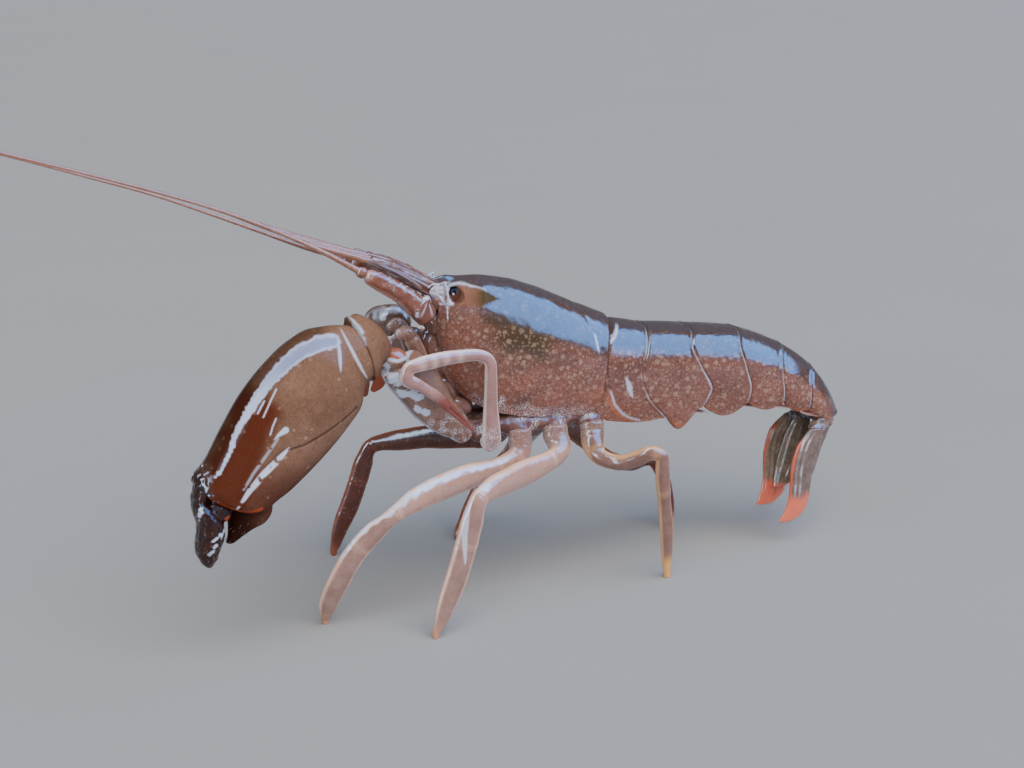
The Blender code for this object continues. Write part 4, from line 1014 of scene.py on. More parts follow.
def knee_gleam(skin):
    """Painted highlights: the wet marks beside a bent knee and down the shin."""
    spot = np.hypot(skin.x + 5.78, (skin.z - 12.7) * 1.6) + 0.15 * skin.lumps(0.4, 54)
    return np.maximum(skin.stroke(SHIN_GLEAM, 0.24), ease(0.65, 0.3, spot)) * skin.near_side


SHIN_GLEAM = [(-7.0, 12.4), (-7.67, 10.69), (-8.02, 9.1), (-8.1, 6.4)]
LEG_GLEAMS = {"leg3_left": long_gleam, "leg4_left": knee_gleam}


def build_legs():
    bristles = bmesh.new()
    for name, leg in LEGS.items():
        side = LEFT if name.endswith("left") else RIGHT
        last = "5" in name
        x, y, z, *girth = leg["upper"][0]
        toe = [(*leg["foot"], z, wide, wide) for z, wide in ((0.4, FOOT_FLAT + 0.08), (0, FOOT_FLAT))]
        rows = [(x, y - 0.15 * side, z + 1.0, *girth), *leg["upper"], *leg["lower"], *toe]
        ways = reaches(np.array(rows)[:, :3])
        knee = ways[len(leg["upper"]) + 1] / ways[-1]
        shin = 1 - knee
        spine = limb_spine(rows)
        build_limb(f"{name}_limb", spine, [tube(spine, 34, 0.12, ends=(0.3, 0.0))],
                   # The right legs take the copy with painted shade.
                   SHADED_LEG if side == RIGHT else LAST_LEG if last else LEG,
                   [f"{name}_upper", f"{name}_lower"],
                   [*(knee * share for share in (0.10, 0.19, 0.31, 0.955)), knee + shin * 0.30],
                   knee + shin * (0.84 if last else 0.93), groove=0.03,
                   pale=-1 if last or side == RIGHT else knee,
                   root=lambda skin: ease(12.5, 13.9, skin.z) * ease(5.2, 4.2, np.abs(skin.y)),
                   # Painted sparkles near the hip.
                   frost=lambda skin: 0.5 * ease(11.8, 13.6, skin.z) * ease(4.5, 2.5, np.abs(skin.y)),
                   # Painted highlights on two of the left legs.
                   rim=LEG_GLEAMS.get(name, lambda skin: 0))
        draw = np.random.default_rng(len(name) + int(name[3]))
        for c, b, t, r in stations(spine, knee + shin * np.linspace(0.42, 0.91, 34)):
            lean = draw.uniform(-0.6, 0.6)
            root = c + b * math.cos(lean) * 0.93 + t * math.sin(lean) * 0.93
            tip = root + unit(b) * draw.uniform(0.12, 0.25) + r * draw.uniform(0.2, 0.4)
            add_bristle(bristles, root, tip)
    make_piece("leg_bristles", BRISTLE, "leg", bristles)


def build_breast():
    """The underside of the trunk, with the sockets that the legs turn in."""
    plate = ball((1.6, 0, 15.4), (8.2, 3.3, 1.4), 48, 30)
    sockets = [ball((x, 2.1 * side, 14.9), (1.5, 1.3, 1.0), 32, 20)
               for x in (-3.4, -0.2, 3.1, 6.4) for side, _ in SIDES]
    make_solid("breast_plate", SOCKET, "leg", form_of(plate, *sockets), (),
               lambda skin: 0.05 * skin.lumps(0.8, 61) + 0.03 * skin.lumps(0.25, 62),
               # Painted sparkles in patches.
               {"frost": lambda skin: 0.8 * ease(0.2, 0.7, skin.lumps(0.9, 63)),
                "edge": lambda skin: 0.3 * ease(0.2, 0.8, skin.lumps(0.7, 64))}, voxel=0.11, rounds=4)


# The second legs are slender, folded, and end in a small claw.
SECOND_LEGS = {
    "leg2_left": dict(
        upper=[(-3.5, -3.9, 14.9, 1.7, 1.3), (-3.5, -4.7, 14.6, 1.8, 1.4), (-3.6, -5.3, 15.6, 1.7, 1.3),
               (-3.65, -5.8, 18.6, 1.25, 1.05), (-3.65, -6.4, 22.0, 1.05, 0.95)],
        middle=[(-3.95, -6.45, 22.75, 1.0, 0.95), (-5.4, -6.8, 23.3, 1.05, 0.95),
                (-7.6, -7.2, 23.4, 1.2, 1.0), (-9.4, -7.65, 23.35, 1.3, 1.0),
                (-11.1, -7.95, 23.1, 1.1, 0.95)],
        claw=[(-11.4, -7.95, 22.3, 1.15, 0.95), (-10.35, -7.75, 21.5, 1.2, 1.0),
              (-8.8, -7.4, 20.2, 1.2, 0.95), (-7.2, -7.05, 18.5, 0.9, 0.8), (-5.4, -6.55, 16.4, 0.35, 0.35)]),
    "leg2_right": dict(
        upper=[(-3.5, 3.9, 14.5, 1.7, 1.3), (-3.5, 4.7, 14.0, 1.9, 1.4), (-3.7, 5.4, 15.1, 1.8, 1.3),
               (-3.8, 6.1, 18.2, 1.25, 1.05), (-3.8, 6.7, 21.3, 1.05, 0.95)],
        middle=[(-4.1, 6.9, 21.95, 1.0, 0.95), (-5.2, 7.2, 22.2, 1.05, 0.95), (-6.7, 7.5, 22.1, 1.2, 1.0),
                (-8.0, 7.7, 21.7, 1.3, 1.0), (-9.0, 7.8, 21.1, 1.1, 0.95)],
        claw=[(-9.1, 7.9, 20.45, 0.9, 0.9), (-8.3, 7.9, 19.4, 1.35, 1.0), (-7.1, 7.8, 18.0, 1.25, 0.95),
              (-5.9, 7.6, 16.4, 0.95, 0.8), (-4.4, 7.3, 14.4, 0.35, 0.35)]),
}


def build_second_legs():
    bristles = bmesh.new()
    for name, leg in SECOND_LEGS.items():
        rows = [*leg["upper"], *leg["middle"], *leg["claw"]]
        ways = reaches(np.array(rows)[:, :3])
        corner, start, length = ways[len(leg["upper"])], ways[-len(leg["claw"])], ways[-1]
        spine = limb_spine(rows)

        def part(share):
            """A share of the claw's length as a share of the whole limb's."""
            return (start + share * (length - start)) / length

        def finger(way):
            def at(place):
                centre, breadth, thick, run = spine[0](place)
                return centre + breadth * way * 0.40, breadth * 0.40, thick * 0.7, run
            return tube((at, length), 20, 0.08, (part(0.44), 0.995), (0.15, 0.2),
                        lambda share: 1 - 0.2 * share)
        arm = tube(spine, 30, 0.09, (0.0, part(0.58)), (0.3, 0.15),
                   lambda share: 1 - 0.2 * ease(part(0.0), part(0.2), share * part(0.58)))
        joints = [corner * 0.13, *(corner + share * (start - corner) for share in (0.36, 0.52, 0.66, 0.79))]
        build_limb(f"{name}_limb", spine, [arm, finger(-1), finger(1)], PALE_LEG,
                   [f"{name}_{stretch}" for stretch in leg], [joint / length for joint in joints], part(0.42),
                   0.06, rough=0.005, groove=0.012,
                   # Painted sparkles near the root.
                   frost=lambda skin: 0.6 * ease(17.0, 15.5, skin.z) * (skin.x > -4.8))
        for c, b, _, r in stations(spine, np.linspace(part(0.7), part(0.97), 10)):
            for way in (-1, 1):
                root = c + b * way * 0.9
                add_bristle(bristles, root, root + unit(b) * way * 0.3 + r * 0.25, 0.03)
    make_piece("second_leg_bristles", BRISTLE, "leg", bristles)


# The great claw. Each row is one edge x, z; the other edge x, z; the middle's y; and thickness.
GREAT_MERUS = [(-4.7, 15.0, -5.9, 14.4, -2.7, 1.6), (-5.0, 16.3, -7.1, 15.3, -3.1, 2.0),
               (-5.7, 17.7, -8.6, 16.3, -3.8, 2.4), (-6.7, 19.2, -10.2, 17.9, -4.4, 2.7),
               (-7.5, 20.8, -11.4, 19.5, -5.0, 2.8), (-8.5, 22.6, -12.6, 21.2, -5.5, 2.8),
               (-9.9, 24.1, -13.2, 22.4, -6.0, 2.4)]
GREAT_CARPUS = [(-12.2, 24.85, -13.3, 23.35, -6.0, 2.0), (-12.7, 25.9, -13.6, 23.2, -6.2, 2.7),
                (-13.7, 27.1, -13.9, 22.8, -6.5, 3.3), (-15.1, 27.95, -14.15, 22.3, -6.9, 3.8),
                (-16.05, 27.5, -14.35, 22.25, -7.1, 3.9)]
GREAT_PALM = [(-16.75, 27.35, -14.85, 21.95, -7.35, 3.9), (-18.9, 27.3, -15.3, 20.4, -7.45, 5.2),
              (-20.9, 26.5, -16.4, 19.0, -7.6, 5.9), (-23.2, 24.7, -18.2, 17.1, -7.7, 6.2),
              (-25.35, 22.4, -20.1, 15.4, -7.8, 6.1), (-27.1, 19.8, -21.8, 14.0, -7.8, 5.8),
              (-28.6, 17.3, -23.2, 13.1, -7.8, 5.4), (-29.75, 15.6, -24.0, 12.4, -7.8, 4.9),
              (-28.9, 14.35, -25.0, 12.3, -7.8, 3.6)]
GREAT_THUMB = [(-27.2, 14.6, -23.2, 13.9, -7.2, 3.2), (-27.1, 12.9, -23.3, 12.3, -7.1, 3.2),
               (-27.1, 11.7, -24.0, 11.2, -7.1, 2.8), (-27.2, 10.7, -25.5, 10.5, -7.3, 2.0),
               (-27.5, 9.9, -27.0, 9.7, -7.6, 0.7)]
GREAT_FINGER = [(-29.95, 14.3, -28.9, 13.7, -8.2, 2.8), (-30.0, 13.4, -28.0, 12.9, -8.4, 3.4),
                (-29.8, 12.4, -27.6, 12.3, -8.5, 3.5), (-29.95, 11.2, -27.6, 11.2, -8.6, 3.2),
                (-30.1, 10.2, -27.9, 10.2, -8.5, 2.6), (-29.85, 9.2, -28.3, 9.2, -8.4, 1.8),
                (-29.2, 8.2, -28.8, 8.2, -8.2, 0.6)]

# The crease is painted dark, as shade in its groove.
CREASE = [(-15.98, 20.7), (-17.27, 19.9), (-18.23, 19.47), (-19.49, 18.92), (-20.75, 18.45), (-21.85, 18.3)]
# The channel, the bank, the wedge and the streaks carry painted highlights.
CHANNEL = [(-22.88, 19.36), (-23.97, 18.0), (-25.06, 16.66), (-25.9, 15.35)]
BANK = [(-21.9, 18.44), (-23.04, 17.41), (-24.17, 16.46), (-25.33, 15.19), (-26.5, 13.55)]
WEDGE = [(-22.2, 20.0), (-22.8, 19.65), (-23.2, 19.3)]
GLINT_STREAKS = [[(-22.57, 23.29), (-23.16, 22.36), (-23.83, 21.2)], [(-23.92, 23.07), (-24.44, 22.21)],
           [(-24.66, 22.24), (-25.51, 20.95), (-26.18, 19.64)], [(-23.61, 22.41), (-24.23, 21.49)],
           [(-22.87, 21.0), (-23.2, 20.4), (-23.45, 19.75)]]
FINGER_GLINTS = [[(-28.66, 11.25), (-28.1, 11.5), (-27.6, 11.7)], [(-28.56, 10.67), (-29.05, 9.9)],
                 [(-29.6, 13.2), (-29.3, 13.9)]]
# A painted blue reflection down the hand, its widths along it, and the painted highlight at its end.
SHEEN_BAND = [(-17.4, 26.45), (-18.68, 26.45), (-20.15, 25.98), (-21.55, 25.12), (-22.85, 24.0), (-24.05, 22.65),
        (-25.2, 21.2), (-26.1, 19.8), (-26.7, 18.4), (-27.5, 17.0), (-28.0, 16.45)]
SHEEN_BAND_WIDTHS = [(0.0, 0.50), (0.1, 0.57), (0.3, 0.46), (0.45, 0.36), (0.6, 0.27), (0.75, 0.18), (1.0, 0.07)]
SHEEN_BAND_END = [(-17.1, 26.7), (-17.15, 25.5), (-17.25, 24.1)]
# Painted highlights along the hand's lip and on the wrist.
HAND_LIP = [(-16.71, 27.28), (-16.33, 26.22), (-15.87, 25.08), (-15.34, 23.84), (-14.86, 22.92)]
WRIST_GLINT = [(-15.75, 27.95), (-15.2, 27.0), (-14.85, 25.4)]
SOCKET_LIP = [(-28.6, 14.7), (-27.2, 13.7), (-26.0, 13.2), (-24.6, 13.3)]
DEEP_LOBE = [(-24.4, 21.6), (-25.6, 19.0), (-26.9, 16.4), (-27.4, 15.0)]
# The red light that shows through beside the hinge, on the hand and on the moving finger.
HAND_SPOT, FINGER_SPOT = (-27.3, 12.5), (-27.3, 12.6)
DARK_END = [(-29.9, 17.6), (-29.5, 15.4), (-29.1, 13.4)]
# A painted highlight runs along the wrist's lip; the fold beside it is raised.
WRIST_LIP = [(-16.4, 27.3), (-16.0, 26.0), (-15.5, 24.7), (-15.0, 23.3), (-14.5, 22.3)]
WRIST_FOLD = [(-15.0, 28.0), (-14.9, 27.0), (-14.6, 25.9)]
# Painted highlights on the arm: pale patches with their widths, and a line along its lip.
ARM_GLINT_PATCHES = [([(-13.25, 23.3), (-12.6, 22.4), (-11.9, 21.85), (-10.9, 21.5), (-10.1, 20.95)], 0.42),
               ([(-11.6, 20.55), (-10.9, 20.5), (-10.1, 20.1)], 0.36),
               ([(-10.2, 18.9), (-9.35, 18.35)], 0.28), ([(-8.84, 17.37), (-7.4, 17.64)], 0.2)]
ARM_LIP = [(-12.9, 23.85), (-11.8, 23.56), (-10.8, 23.72), (-10.15, 24.08), (-9.7, 24.5)]


def rough_skin(size, height, seed):
    return lambda skin: height * (skin.lumps(size, seed) + 0.45 * skin.lumps(size / 3, seed + 40))


def palm_glints(skin):
    """Painted highlights: bright wet streaks beside the two steps on the hand."""
    bank, along = skin.place(BANK)
    wide = 0.04 + 0.20 * np.sin(math.pi * along ** 0.8)
    torn = ease(-0.75, -0.55, skin.lumps(0.28, 39, (1, 1, 0.6)))
    wedge, down = skin.place(WEDGE)
    return most(ease(wide + 0.05, wide - 0.03, np.abs(bank + 0.1)) * torn * (along > 0) * (along < 1),
                0.45 * skin.near(CHANNEL, 0.15, 0.06) * torn,
                ease(0.05, -0.03, np.abs(wedge) - 0.26 * (1 - down)),
                *(0.85 * skin.near(line, 0.09, 0.04) for line in GLINT_STREAKS))


def painted_sheen_band(skin):
    """The painted blue reflection down the hand, and how bright its painted highlight is: along its rims and
    in its lower half.
    """
    gap, share = skin.place(SHEEN_BAND)
    wide = np.interp(share, *zip(*SHEEN_BAND_WIDTHS)) + 0.06 * skin.lumps(0.3, 47)
    band = ease(wide + 0.06, wide - 0.06, np.abs(gap))
    return band, band * np.maximum(0.55 * bell(np.abs(gap), wide - 0.1, 0.12), 0.8 * ease(0.25, 0.6, share))


def build_claw_arm():
    lower = np.array(GREAT_MERUS)[:, 2:4]
    above_lip = [(x, z + 0.6) for x, z in ARM_LIP]
    arm = tube(side_blade(GREAT_MERUS), 64, 0.12, ends=(0.3, 0.35), power=(0.9, 0.75))

    def masks(skin):
        wander = 0.16 * skin.lumps(0.45, 44) + 0.10 * skin.lumps(0.22, 51)
        patches = most(*(ease(width + 0.08, width - 0.08, skin.off(line) + wander)
                         for line, width in ARM_GLINT_PATCHES))
        wet = skin.near(lower, 1.6, 0.7) * ease(20.0, 21.5, skin.z) + ease(18.5, 16.5, skin.z)
        # rim: painted highlights on the lip, the lower edge and the patches.
        return {"rim": most(skin.near(ARM_LIP, 0.20, 0.08), 0.6 * skin.near(lower, 0.2, 0.05),
                            patches * (skin.y < -5.5)),
                # Painted sparkles near the lower edge.
                "frost": 0.85 * wet * (skin.ny < 0.1) * ease(-0.4, 0.4, skin.lumps(0.55, 50)),
                "warm": 0.45 * skin.near(above_lip, 0.9, 0.3)}
    elbow = ball((-11.9, -6.0, 23.5), (1.15, 0.95, 1.0), 32, 20)
    make_solid("great_claw_arm", ARM, "claw", form_of(arm, elbow), ["great_claw_merus"],
               lambda skin: rough_skin(1.0, 0.02, 31)(skin)
               + ease(19.5, 17, skin.z) * 0.05 * skin.lumps(0.5, 32), masks, voxel=0.1, rounds=2)


def build_claw_wrist():
    groove = [(x + 0.45, z) for x, z in WRIST_LIP]
    wrist = tube(side_blade(GREAT_CARPUS), 72, 0.1, ends=(0.3, 0.2), power=(0.95, 0.9),
                 girth=lambda share: 1 + 0.05 * bell(share, 0.93, 0.05))

    def masks(skin):
        # rim: painted highlights along the lip and a mark.
        return {"rim": most(0.9 * skin.near(WRIST_LIP, 0.30, 0.10), skin.leaf(WRIST_GLINT, 0.26, 49)),
                "mute": skin.near_side}
    make_solid("great_claw_wrist", CLAW, "claw", form_of(wrist), ["great_claw_carpus"],
               lambda skin: rough_skin(0.9, 0.02, 33)(skin) + 0.06 * bell(skin.off(WRIST_FOLD), 0, 0.3)
               - 0.08 * bell(skin.off(groove), 0, 0.16), masks)


def build_claw_hand():
    palm = tube(side_blade([(-15.6, 27.2, -14.1, 22.45, -7.1, 3.6), *GREAT_PALM]), 120, 0.12, ends=(0.2, 0.6),
                power=(0.95, 0.92), girth=lambda share: 0.965 + 0.035 * ease(0.02, 0.09, share))
    thumb = tube(side_blade(GREAT_THUMB), 60, 0.12, ends=(0.3, 0.3), power=(0.95, 0.9))
    margin = np.array(GREAT_PALM)[1:, :2]

    def relief(skin):
        steps = skin.terrace(BANK, 0.22, 2.8) + skin.terrace(CHANNEL, 0.12, 1.0)
        streaks = sum(0.03 * bell(skin.off(line), 0, 0.10) for line in GLINT_STREAKS)
        lips = 0.07 * bell(skin.off(HAND_LIP), 0, 0.2) - 0.11 * bell(skin.off(CREASE), 0, 0.10)
        return (rough_skin(2.2, 0.009, 34)(skin) + ease(-0.15, -0.5, skin.ny) * (steps + streaks + lips)
                + 0.10 * bell(skin.off(SOCKET_LIP), 0, 0.22)
                + 0.06 * skin.near(DARK_END, 1.7, 0.6) * skin.lumps(0.35, 35))

    def masks(skin):
        below = ease(0.2, 1.2, 14.0 - skin.z) * ease(-23.0, -26.5, skin.x)
        gap, share = skin.place(BANK)
        end = skin.off(DARK_END)
        lobe = ease(2.5, 1.0, skin.off(DEEP_LOBE) + 0.2 * skin.lumps(1.0, 38))
        lobe = lobe * ease(0.5, -0.1, np.where(share > 0, gap, -1))
        lobe = lobe + 0.7 * ease(18.8, 14.5, skin.z) * (gap > 0)
        band, bright = painted_sheen_band(skin)
        # Painted glints of water drops near the dark end.
        drop_glints = 0.9 * ease(0.75, 0.95, skin.lumps(0.24, 45)) * ease(1.5, 0.9, end)
        return {"deep": np.maximum(lobe, 0.9 * below),
                "warm": 0.8 * skin.near(SOCKET_LIP, 0.26, 0.08),
                # dark: the fingers' own dark colour, with the crease painted dark as shade in its groove.
                "dark": most(ease(1.5, 0.4, end), below, 0.6 * skin.near(CREASE, 0.14, 0.04),
                             0.6 * skin.near(margin, 1.7, 0.3)),
                # sheen is a painted blue reflection and rim painted highlights, both on the near side.
                "sheen": most(band, skin.stroke(SHEEN_BAND_END, 0.18)) * skin.near_side,
                "rim": most(palm_glints(skin), bright, 0.7 * skin.stroke(SHEEN_BAND_END, 0.12),
                            0.8 * skin.stroke(HAND_LIP, 0.13), drop_glints) * skin.near_side,
                "mute": 0.92 * ease(0.1, -0.15, skin.ny) * ease(0.6, 1.6, end),
                "spot": ease(0.34, 0.22, skin.away(*HAND_SPOT)) * skin.near_side}
    make_solid("great_claw_hand", CLAW, "claw", form_of(palm, thumb), ["great_claw_palm"], relief, masks,
               voxel=0.085, rounds=5)


def build_claw_finger():
    rows = [(-29.6, 15.6, -28.4, 14.8, -8.0, 3.2), *GREAT_FINGER]
    finger = tube(side_blade(rows), 64, 0.1, ends=(0.3, 0.3), power=(0.9, 0.85))
    hinge = ball((-28.0, -8.0, 13.3), (1.5, 1.7, 1.25), 40, 24)

    def spot(skin):
        return 0.8 * ease(0.34, 0.2, skin.away(*FINGER_SPOT)) * skin.near_side

    # Painted highlights on the finger.
    def rim(skin):
        off = np.min([skin.off(line) for line in FINGER_GLINTS], axis=0)
        return ease(0.20, 0.08, off + 0.12 * skin.lumps(0.25, 46)) * skin.near_side
    make_solid("great_claw_thumb", DARK_CLAW, "claw", form_of(finger, hinge), ["great_claw_finger"],
               lambda skin: 0.03 * skin.lumps(0.6, 36) + 0.025 * skin.lumps(0.28, 37),
               {"spot": spot, "rim": rim}, voxel=0.09, rounds=3)
    hairs = bmesh.new()
    draw = np.random.default_rng(40)
    for rows, count in ((GREAT_FINGER, 70), (GREAT_THUMB, 50)):
        for c, b, t, r in stations(side_blade(rows), draw.uniform(0.35, 0.98, count)):
            turn = draw.uniform(0, 2 * math.pi)
            out = b * math.cos(turn) + t * math.sin(turn)
            add_bristle(hairs, c + out * 0.92, c + out + unit(out) * draw.uniform(0.15, 0.4) + r * 0.3)
    make_piece("great_claw_bristles", BRISTLE, "claw", hairs)


SMALL_MERUS = [(-5.0, 2.8, 14.9, 1.6, 1.5), (-5.6, 3.4, 16.2, 2.0, 1.7), (-6.6, 4.2, 18.3, 2.5, 1.9),
               (-7.7, 4.8, 20.9, 2.8, 2.0), (-8.3, 5.1, 22.8, 2.4, 1.9)]
SMALL_CARPUS = [(-8.6, 5.2, 23.5, 2.2, 1.9), (-9.3, 5.6, 24.0, 3.0, 2.2), (-10.3, 6.5, 23.8, 3.0, 2.3),
                (-10.8, 7.3, 23.2, 2.5, 2.1)]
SMALL_PALM = [(-11.1, 7.9, 22.55, 2.2, 1.9), (-11.2, 8.6, 21.4, 2.9, 2.2), (-11.0, 9.5, 20.0, 2.9, 2.2),
              (-10.8, 10.1, 18.9, 2.4, 2.0)]
SMALL_THUMB = [(-10.2, 10.0, 19.2, 1.3, 1.3), (-9.75, 10.6, 18.0, 1.3, 1.1), (-9.85, 11.2, 16.8, 0.95, 0.8),
               (-10.55, 11.7, 15.7, 0.35, 0.35)]
SMALL_FINGER = [(-11.5, 10.75, 18.15, 1.1, 1.1), (-11.5, 11.2, 17.2, 1.1, 1.0),
                (-11.35, 11.6, 16.3, 0.8, 0.75), (-11.1, 12.0, 15.3, 0.35, 0.35)]

SMALL_LIP = [(-11.8, 24.1), (-10.8, 24.75), (-9.8, 25.15), (-8.9, 25.05), (-8.0, 24.6), (-7.7, 24.1)]


def build_small_claw():
    elbow, ankle = ((*((np.array(before) + after) / 2 * (1, 1, 1, 0.96, 0.96)),) for before, after in (
        (SMALL_MERUS[-1], SMALL_CARPUS[0]), (SMALL_CARPUS[-1], SMALL_PALM[0])))
    thumb, finger = ([(x, y, z, broad * wider, thick) for x, y, z, broad, thick in rows]
                     for rows, wider in ((SMALL_THUMB, 1.45), (SMALL_FINGER, 1.5)))
    arm = form_of(tube(limb_spine([*SMALL_MERUS, elbow]), 40, 0.12, ends=(0.4, 0.5)),
                  tube(limb_spine([elbow, *SMALL_CARPUS, ankle]), 40, 0.1, ends=(0.5, 0.5)),
                  tube(limb_spine([ankle, *SMALL_PALM], (0, 0.7, 0.7)), 44, 0.1, ends=(0.5, 0.5)),
                  tube(limb_spine(thumb), 28, 0.1))

    def relief(skin):
        near = np.min([np.linalg.norm(skin.points - row[:3], axis=1) - row[3] / 2
                       for row in (SMALL_CARPUS[0], SMALL_PALM[0])], axis=0)
        return rough_skin(0.9, 0.018, 41)(skin) - 0.03 * bell(near, 0.1, 0.15)

    def masks(skin):
        return {"warm": ease(19.0, 17.2, skin.z) * (skin.y > 8),
                # rim: a painted highlight along the lip.
                "rim": skin.near(SMALL_LIP, 0.45, 0.15) * ease(-0.6, 0.1, skin.lumps(0.5, 43))}
    nodes = ["small_claw_merus", "small_claw_carpus", "small_claw_palm"]
    make_solid("small_claw_arm", ARM, "claw", arm, nodes, relief, masks, voxel=0.1, rounds=3)
    make_solid("small_claw_thumb", ARM, "claw", form_of(tube(limb_spine(finger), 28, 0.1, ends=(0.35, 0.15))),
               ["small_claw_finger"], relief, {"warm": lambda skin: 0.8})


# Feelers and mouth, given for the right side and turned over for the left.
ANTENNULE = [(-6.9, 0.95, 27.9, 1.5, 1.2), (-8.6, 0.95, 29.0, 1.5, 1.2), (-10.6, 0.95, 30.2, 1.3, 1.1),
             (-12.5, 1.0, 31.05, 1.1, 1.0)]
SHORT_FEELER = [(-12.2, 1.25, 30.9, 0.8, 0.7), (-14.6, 1.5, 31.9, 0.7, 0.6), (-17.6, 1.75, 33.1, 0.5, 0.5),
                (-19.6, 1.9, 34.0, 0.2, 0.2)]
THIN_FEELER = [(-12.2, 0.8, 31.1, 0.7, 0.6), (-15.2, 0.65, 32.2, 0.55, 0.5), (-19.6, 0.6, 34.0, 0.5, 0.5),
               (-24.5, 0.6, 36.3, 0.2, 0.2)]
ANTENNA_BASE = [(-7.9, 2.75, 25.7, 1.9, 1.6), (-8.7, 2.95, 26.8, 2.1, 1.6),
                (-10.2, 3.1, 28.3, 1.7, 1.4), (-11.9, 3.15, 29.5, 1.6, 1.3), (-13.4, 3.1, 30.4, 1.1, 1.0)]
SCALE = [(-8.3, 1.95, 28.35, -8.5, 3.1, 28.5, 0.4), (-9.9, 1.9, 29.75, -10.1, 3.4, 29.9, 0.4),
         (-11.4, 1.9, 30.65, -11.7, 3.3, 30.85, 0.4), (-12.9, 2.3, 31.3, -13.1, 2.75, 31.5, 0.35)]
LONG_FEELERS = {
    "left": [(-13.85, -3.1, 30.7), (-16.9, -3.1, 32.7), (-21.2, -3.2, 35.1), (-25.4, -3.4, 37.1),
             (-29.6, -3.6, 38.8), (-35.0, -3.9, 40.8), (-41.5, -4.3, 43.1), (-47.5, -4.8, 45.0)],
    "right": [(-13.85, 3.1, 30.65), (-16.9, 3.0, 31.8), (-21.2, 3.0, 33.8), (-25.4, 3.1, 35.75),
              (-29.6, 3.3, 37.6), (-35.0, 3.6, 39.6), (-41.5, 4.1, 41.9), (-47.0, 4.6, 43.6)],
}
MOUTH_FOOT = [(-6.4, 1.1, 16.4, 1.3, 1.0), (-7.6, 1.15, 18.9, 1.6, 1.1), (-8.5, 1.25, 21.4, 1.6, 1.1),
              (-9.1, 1.4, 23.4, 1.4, 1.0), (-9.9, 1.6, 24.6, 1.2, 0.9), (-10.8, 1.6, 24.3, 0.8, 0.7)]
MOUTH_LOBES = ((-6.9, 1.1, 24.9, 0.9, 0.9, 1.0), (-7.2, 0.8, 22.9, 0.9, 0.8, 1.2),
               (-6.7, 1.7, 21.6, 0.9, 0.7, 1.3), (-6.2, 1.6, 19.3, 0.9, 0.7, 1.4),
               (-5.2, 1.8, 17.4, 1.0, 0.7, 1.0))
RING_LENGTH = 0.2
FEELER_WIDTHS = (0.6, 0.44, 0.36, 0.32, 0.29, 0.27, 0.24, 0.15)


def ring_wave(share, spine):
    return np.abs(np.cos(math.pi * share * spine[1] / RING_LENGTH))


def ringed_tube(rows):
    """A feeler with a groove between each pair of its many short rings."""
    spine = limb_spine(rows)
    return tube(spine, 12, RING_LENGTH / 5, ends=(0.08, 0.08),
                girth=lambda share: 1 - 0.08 * ring_wave(share, spine) ** 4)


def ring_mask(rows):
    spine = limb_spine(rows)
    return {"ring": lambda skin: ring_wave(skin.share(spine, 1500), spine) ** 3}


def ridged(count, height):
    """A shape that gives a tube lengthwise ridges."""
    def shape(grid, share, turns):
        full = ease(0.0, 0.12, share) * ease(1.0, 0.88, share)
        high = height * np.maximum(0, np.cos(turns * count)) ** 2 * full[:, None]
        return grid + unit(grid - grid.mean(axis=1, keepdims=True)) * high[..., None]
    return shape


def ridge_masks(spine, count, frost):
    def masks(skin):
        centre, breadth, thick, _ = spine[0](skin.share(spine) * spine[1])
        offset = skin.points - centre
        turn = np.arctan2((offset * unit(thick)).sum(axis=1), (offset * unit(breadth)).sum(axis=1))
        patch = 0.5 + 0.5 * np.clip(skin.lumps(0.7, 71) * 2, -1, 1)
        # edge: painted highlights on the ridges' crests. ring: painted shade in the grooves between them. The
        # sparkles are painted too.
        return {"edge": np.maximum(0, np.cos(turn * count)) ** 8 * (0.15 + 0.7 * patch ** 2),
                "ring": np.maximum(0, -np.cos(turn * count)) ** 2, "frost": frost * patch}
    return masks


ROOT_OUTLINE = ([(-9.2, 26.4), (-9.15, 27.1), (-8.7, 27.7), (-8.1, 27.9)],
                [(-7.9, 27.9), (-7.2, 27.4), (-6.95, 26.6)])
NOTCH_RIDGES = [([(-6.25, 2.15, 28.85), (-6.12, 2.3, 28.1), (-6.05, 2.45, 27.3), (-5.9, 2.6, 26.9)], 0.20),
                ([(-7.7, 1.75, 28.3), (-7.2, 1.85, 28.62), (-6.7, 1.95, 28.6), (-6.25, 2.1, 28.75)], 0.17),
                ([(-7.6, 1.9, 27.95), (-7.1, 2.05, 27.85), (-6.7, 2.2, 27.45), (-6.4, 2.3, 26.95)], 0.17),
                ([(-7.0, 1.95, 28.3), (-6.9, 2.0, 28.0), (-6.5, 2.1, 27.9)], 0.14)]
NOTCH_PITS = ((-6.62, 28.45), (-6.72, 27.6))


